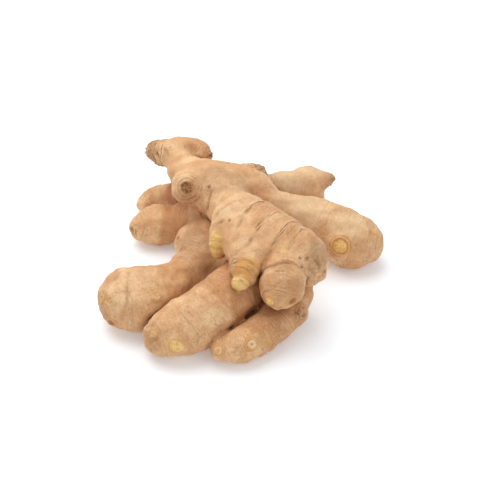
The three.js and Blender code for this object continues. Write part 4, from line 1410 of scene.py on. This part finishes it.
class GingerSkinLook(bpy.types.PropertyGroup):
    """Sizes and colours of the rhizome's skin."""

    face_size: length_setting("Face size", "Width of the skin mesh's faces", 0.92)
    wrinkle_height: length_setting("Wrinkle height", "Height of the fine wrinkles", 0.17)
    ring_darkness: share_setting("Ring darkness", "How dark the lines under the leaf-scar rings are", 0.6)
    freckles: share_setting("Freckles", "How many brown freckles the skin has", 0.35)
    roughness: share_setting("Roughness", "How matt the skin is", 0.55)
    sheen: share_setting("Sheen", "How strongly the skin mirrors the lamps", 0.22)
    tan: colour_setting("Tan", "Main colour of the skin", "#daaa7b")
    pale: colour_setting("Pale", "Paler clouds of the skin", "#ecc495")
    rosy: colour_setting("Rosy", "Rosier clouds of the skin", "#cf9c6f")
    fibre: colour_setting("Fibre", "Streaks and freckles", "#a86c34")
    papery: colour_setting("Papery", "Fair, dry skin and the lifted edge of each ring", "#ecd0a6")
    ring_line: colour_setting("Ring line", "Lines under leaf-scar rings, on buds and the cut stem", "#8a5833")
    # Painted shade in narrow creases and fold grooves; also the dark of pits and dead buds.
    crease_shade_and_scar: colour_setting("Crease", "Narrow creases, pits and dead buds", "#7a4520")
    # Painted shadow in the deep gaps where two fingers touch.
    gap: colour_setting("Gap", "Deep gaps where two fingers touch", "#4f2810")
    # Painted shade on the crown, elbow and back branch, and the heel's darker scarred skin.
    dull_and_shade: colour_setting("Dull", "Older skin, greyer than the rest", "#ae8866")
    shaded: colour_setting("Shaded", "Dusky skin, and skin in broad hollows", "#bd8050")
    bud: colour_setting("Young bud", "Yellow skin of living buds", "#efc67a")
    bud_ring: colour_setting("Bud ring", "Thin rings and crumbs on young skin and buds", "#ad6f2e")
    amber: colour_setting("Amber", "Ripe skin round the young buds, and bud collars", "#dc9f52")
    # Rosy skin of new stubs, and rosy painted shade on the left back finger.
    blush_and_shade: colour_setting("Blush", "Rosy skin of new stubs", "#b56a42")
    scar: colour_setting("Scar", "Torn ends and the face of the cut stem", "#96602f")
    pith: colour_setting("Pith", "Dark holes in the cut stem", "#4c2a12")


class GingerTrimLook(bpy.types.PropertyGroup):
    """Sizes and colours of the dry fibres and loose flakes."""

    longest: length_setting("Longest fibre", "Length of the longest dry root fibres", 3.6)
    fibre_tan: colour_setting("Fibre tan", "Main colour of the dry fibres", "#bb8653")
    fibre_pale: colour_setting("Fibre pale", "Palest fibres", "#e4be8c")
    fibre_brown: colour_setting("Fibre brown", "Darkest fibres", "#84522c")
    flake_tan: colour_setting("Flake tan", "Main colour of the loose skin", "#dcb083")
    flake_pale: colour_setting("Flake pale", "Palest loose skin", "#efd0a2")


class GingerStageLook(bpy.types.PropertyGroup):
    """The table, the lights and the camera."""

    table_width: length_setting("Table width", "Width of the pale table", 6000)
    table_colour: colour_setting("Table colour", "Colour of the pale table", "#f2f6f9")
    key_power: power_setting("Key power", "Power of the large soft lamp above", 6.8)
    fill_power: power_setting("Fill power", "Power of the soft lamp in front", 1.3)
    sky_strength: bpy.props.FloatProperty(
        name="Sky strength", description="Brightness of the white room", default=0.64, min=0
    )
    distance: length_setting("Camera distance", "From the camera to the root's middle", 708)
    elevation: bpy.props.FloatProperty(
        name="Camera elevation",
        description="Angle of the camera above the table",
        subtype="ANGLE",
        default=math.radians(38),
    )
    lens: bpy.props.FloatProperty(
        name="Lens", description="Focal length of the camera", unit="CAMERA", default=90
    )


def settle(piece, material):
    """Gives a piece its material and its place in the frame."""
    piece.data.materials.clear()
    piece.data.materials.append(material)
    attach(piece, "root")


# ------------------------------------------------------------------------------- operators


class GINGER_OT_build_shared_finishes(bpy.types.Operator):
    """Build the node groups that the skin, fibres and flakes share"""

    bl_idname = "ginger.build_shared_finishes"
    bl_label = "Shared Finishes"

    def execute(self, context):
        build_mottle_group()
        build_grain_group()
        build_speckle_group()
        return {"FINISHED"}


class GINGER_OT_build_rhizome(bpy.types.Operator):
    """Build the rhizome's skin in place of the faceted solid"""

    bl_idname = "ginger.build_rhizome"
    bl_label = "Rhizome"

    def execute(self, context):
        look = context.scene.ginger_skin_look
        piece = voxel_copy("rhizome_skin", bpy.data.objects[NODE], look.face_size)
        mesh = piece.data
        links = read_links(mesh)
        points = onto_skin(read_points(mesh), 3)
        for _ in range(SMOOTHING_ROUNDS):
            points = onto_skin(relaxed(points, links), 2)
        write_points(mesh, points)
        way = read_normals(mesh)
        dressed, marks, grain = dressed_shape(points, way)
        write_points(mesh, kept_in_box(dressed))
        for name, values in marks.items():
            set_mask(mesh, name, values)
        set_vectors(mesh, "grain", grain)
        mesh.polygons.foreach_set("use_smooth", [True] * len(mesh.polygons))
        settle(piece, skin_material(look))
        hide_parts(NODE)
        return {"FINISHED"}


class GINGER_OT_build_fibres(bpy.types.Operator):
    """Build the dry root fibres on the knobs, the torn ends and the cut stem"""

    bl_idname = "ginger.build_fibres"
    bl_label = "Root Fibres"

    def execute(self, context):
        look = context.scene.ginger_trim_look
        hairs = []
        for seed, tuft in enumerate(TUFTS, FIRST_TUFT_SEED):
            hairs += tuft_fibres(tuft, seed, look.longest / MM)
        piece = link_mesh("root_fibres", *joined(hairs))
        settle(piece, fibre_material(look))
        return {"FINISHED"}


class GINGER_OT_build_flakes(bpy.types.Operator):
    """Build the papery skin that has come loose along the rings"""

    bl_idname = "ginger.build_flakes"
    bl_label = "Skin Flakes"

    def execute(self, context):
        look = context.scene.ginger_trim_look
        strips = [loose_flake(*flake, seed) for seed, flake in enumerate(FLAKES, FIRST_FLAKE_SEED)]
        piece = link_mesh("skin_flakes", *joined(strips))
        settle(piece, flake_material(look))
        return {"FINISHED"}


class GINGER_OT_build_stage(bpy.types.Operator):
    """Build the pale table, the soft lamps, the white room and the camera"""

    bl_idname = "ginger.build_stage"
    bl_label = "Stage"

    def execute(self, context):
        look = context.scene.ginger_stage_look
        self.table(look)
        self.lamp("key_lamp", look.key_power, **KEY_LAMP)
        self.lamp("fill_lamp", look.fill_power, **FILL_LAMP)
        self.room(context.scene, look)
        self.camera(context.scene, look)
        return {"FINISHED"}

    def table(self, look):
        """A wide pale table top at z = 0."""
        half = look.table_width / MM / 2
        corners = [(-half, -half, 0), (half, -half, 0), (half, half, 0), (-half, half, 0)]
        table = link_mesh("pale_table", corners, [(0, 1, 2, 3)], smooth=False)
        material, tree = new_material("pale_table_top")
        shader = finish_material(tree, opaque(look.table_colour), 0.6, 0.0, 0.0)
        shader.inputs["Emission Color"].default_value = opaque(look.table_colour)
        shader.inputs["Emission Strength"].default_value = TABLE_GLOW
        table.data.materials.append(material)

    def room(self, scene, look):
        """A white room that lights everything evenly, with plain colour handling."""
        room = bpy.data.worlds.new("white_room")
        room.use_nodes = True
        background = room.node_tree.nodes["Background"]
        background.inputs["Color"].default_value = ROOM_COLOUR
        background.inputs["Strength"].default_value = look.sky_strength
        scene.world = room
        scene.view_settings.view_transform = "Standard"

    def camera(self, scene, look):
        """A long-lens camera in front of the root, looking down on it."""
        camera = bpy.data.objects.new("viewpoint", bpy.data.cameras.new("viewpoint"))
        camera.data.lens = look.lens
        camera.data.sensor_width = SENSOR_WIDTH
        camera.data.clip_start, camera.data.clip_end = 0.01, 50.0
        back = Vector((0, -math.cos(look.elevation), math.sin(look.elevation)))
        camera.location = Vector(VIEW_AIM) * MM + look.distance * back
        camera.rotation_euler = (-back).to_track_quat("-Z", "Y").to_euler()
        scene.collection.objects.link(camera)
        scene.camera = camera

    def lamp(self, name, power, width, place):
        """A square soft lamp, placed in millimetres and aimed at the root."""
        data = bpy.data.lights.new(name, "AREA")
        data.energy = power
        data.size = width * MM
        lamp = bpy.data.objects.new(name, data)
        lamp.location = Vector(place) * MM
        lamp.rotation_euler = (Vector(LAMP_AIM) - Vector(place)).to_track_quat("-Z", "Y").to_euler()
        bpy.context.scene.collection.objects.link(lamp)


class GINGER_PT_sidebar(bpy.types.Panel):
    """Lists the ginger root's settings and steps"""

    bl_label = "Ginger Root"
    bl_idname = "GINGER_PT_sidebar"
    bl_space_type = "VIEW_3D"
    bl_region_type = "UI"
    bl_category = "Ginger"

    def draw(self, context):
        scene = context.scene
        looks = (scene.ginger_skin_look, scene.ginger_trim_look, scene.ginger_stage_look)
        for title, look in zip(("Skin", "Fibres and flakes", "Stage"), looks):
            box = self.layout.box()
            box.label(text=title)
            for name in look.bl_rna.properties.keys():
                if name not in ("rna_type", "name"):
                    box.prop(look, name)
        for operator in OPERATORS:
            self.layout.operator(operator.bl_idname)


SETTINGS = (GingerSkinLook, GingerTrimLook, GingerStageLook)
OPERATORS = (
    GINGER_OT_build_shared_finishes,
    GINGER_OT_build_rhizome,
    GINGER_OT_build_fibres,
    GINGER_OT_build_flakes,
    GINGER_OT_build_stage,
)


def register():
    for kind in (*SETTINGS, *OPERATORS, GINGER_PT_sidebar):
        bpy.utils.register_class(kind)
    bpy.types.Scene.ginger_skin_look = bpy.props.PointerProperty(type=GingerSkinLook)
    bpy.types.Scene.ginger_trim_look = bpy.props.PointerProperty(type=GingerTrimLook)
    bpy.types.Scene.ginger_stage_look = bpy.props.PointerProperty(type=GingerStageLook)


def unregister():
    del bpy.types.Scene.ginger_skin_look
    del bpy.types.Scene.ginger_trim_look
    del bpy.types.Scene.ginger_stage_look
    for kind in reversed((*SETTINGS, *OPERATORS, GINGER_PT_sidebar)):
        bpy.utils.unregister_class(kind)


def main():
    """Builds the whole root in order."""
    register()
    bpy.ops.ginger.build_shared_finishes()
    bpy.ops.ginger.build_rhizome()
    bpy.ops.ginger.build_fibres()
    bpy.ops.ginger.build_flakes()
    bpy.ops.ginger.build_stage()
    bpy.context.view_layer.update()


if __name__ == "__main__":
    main()
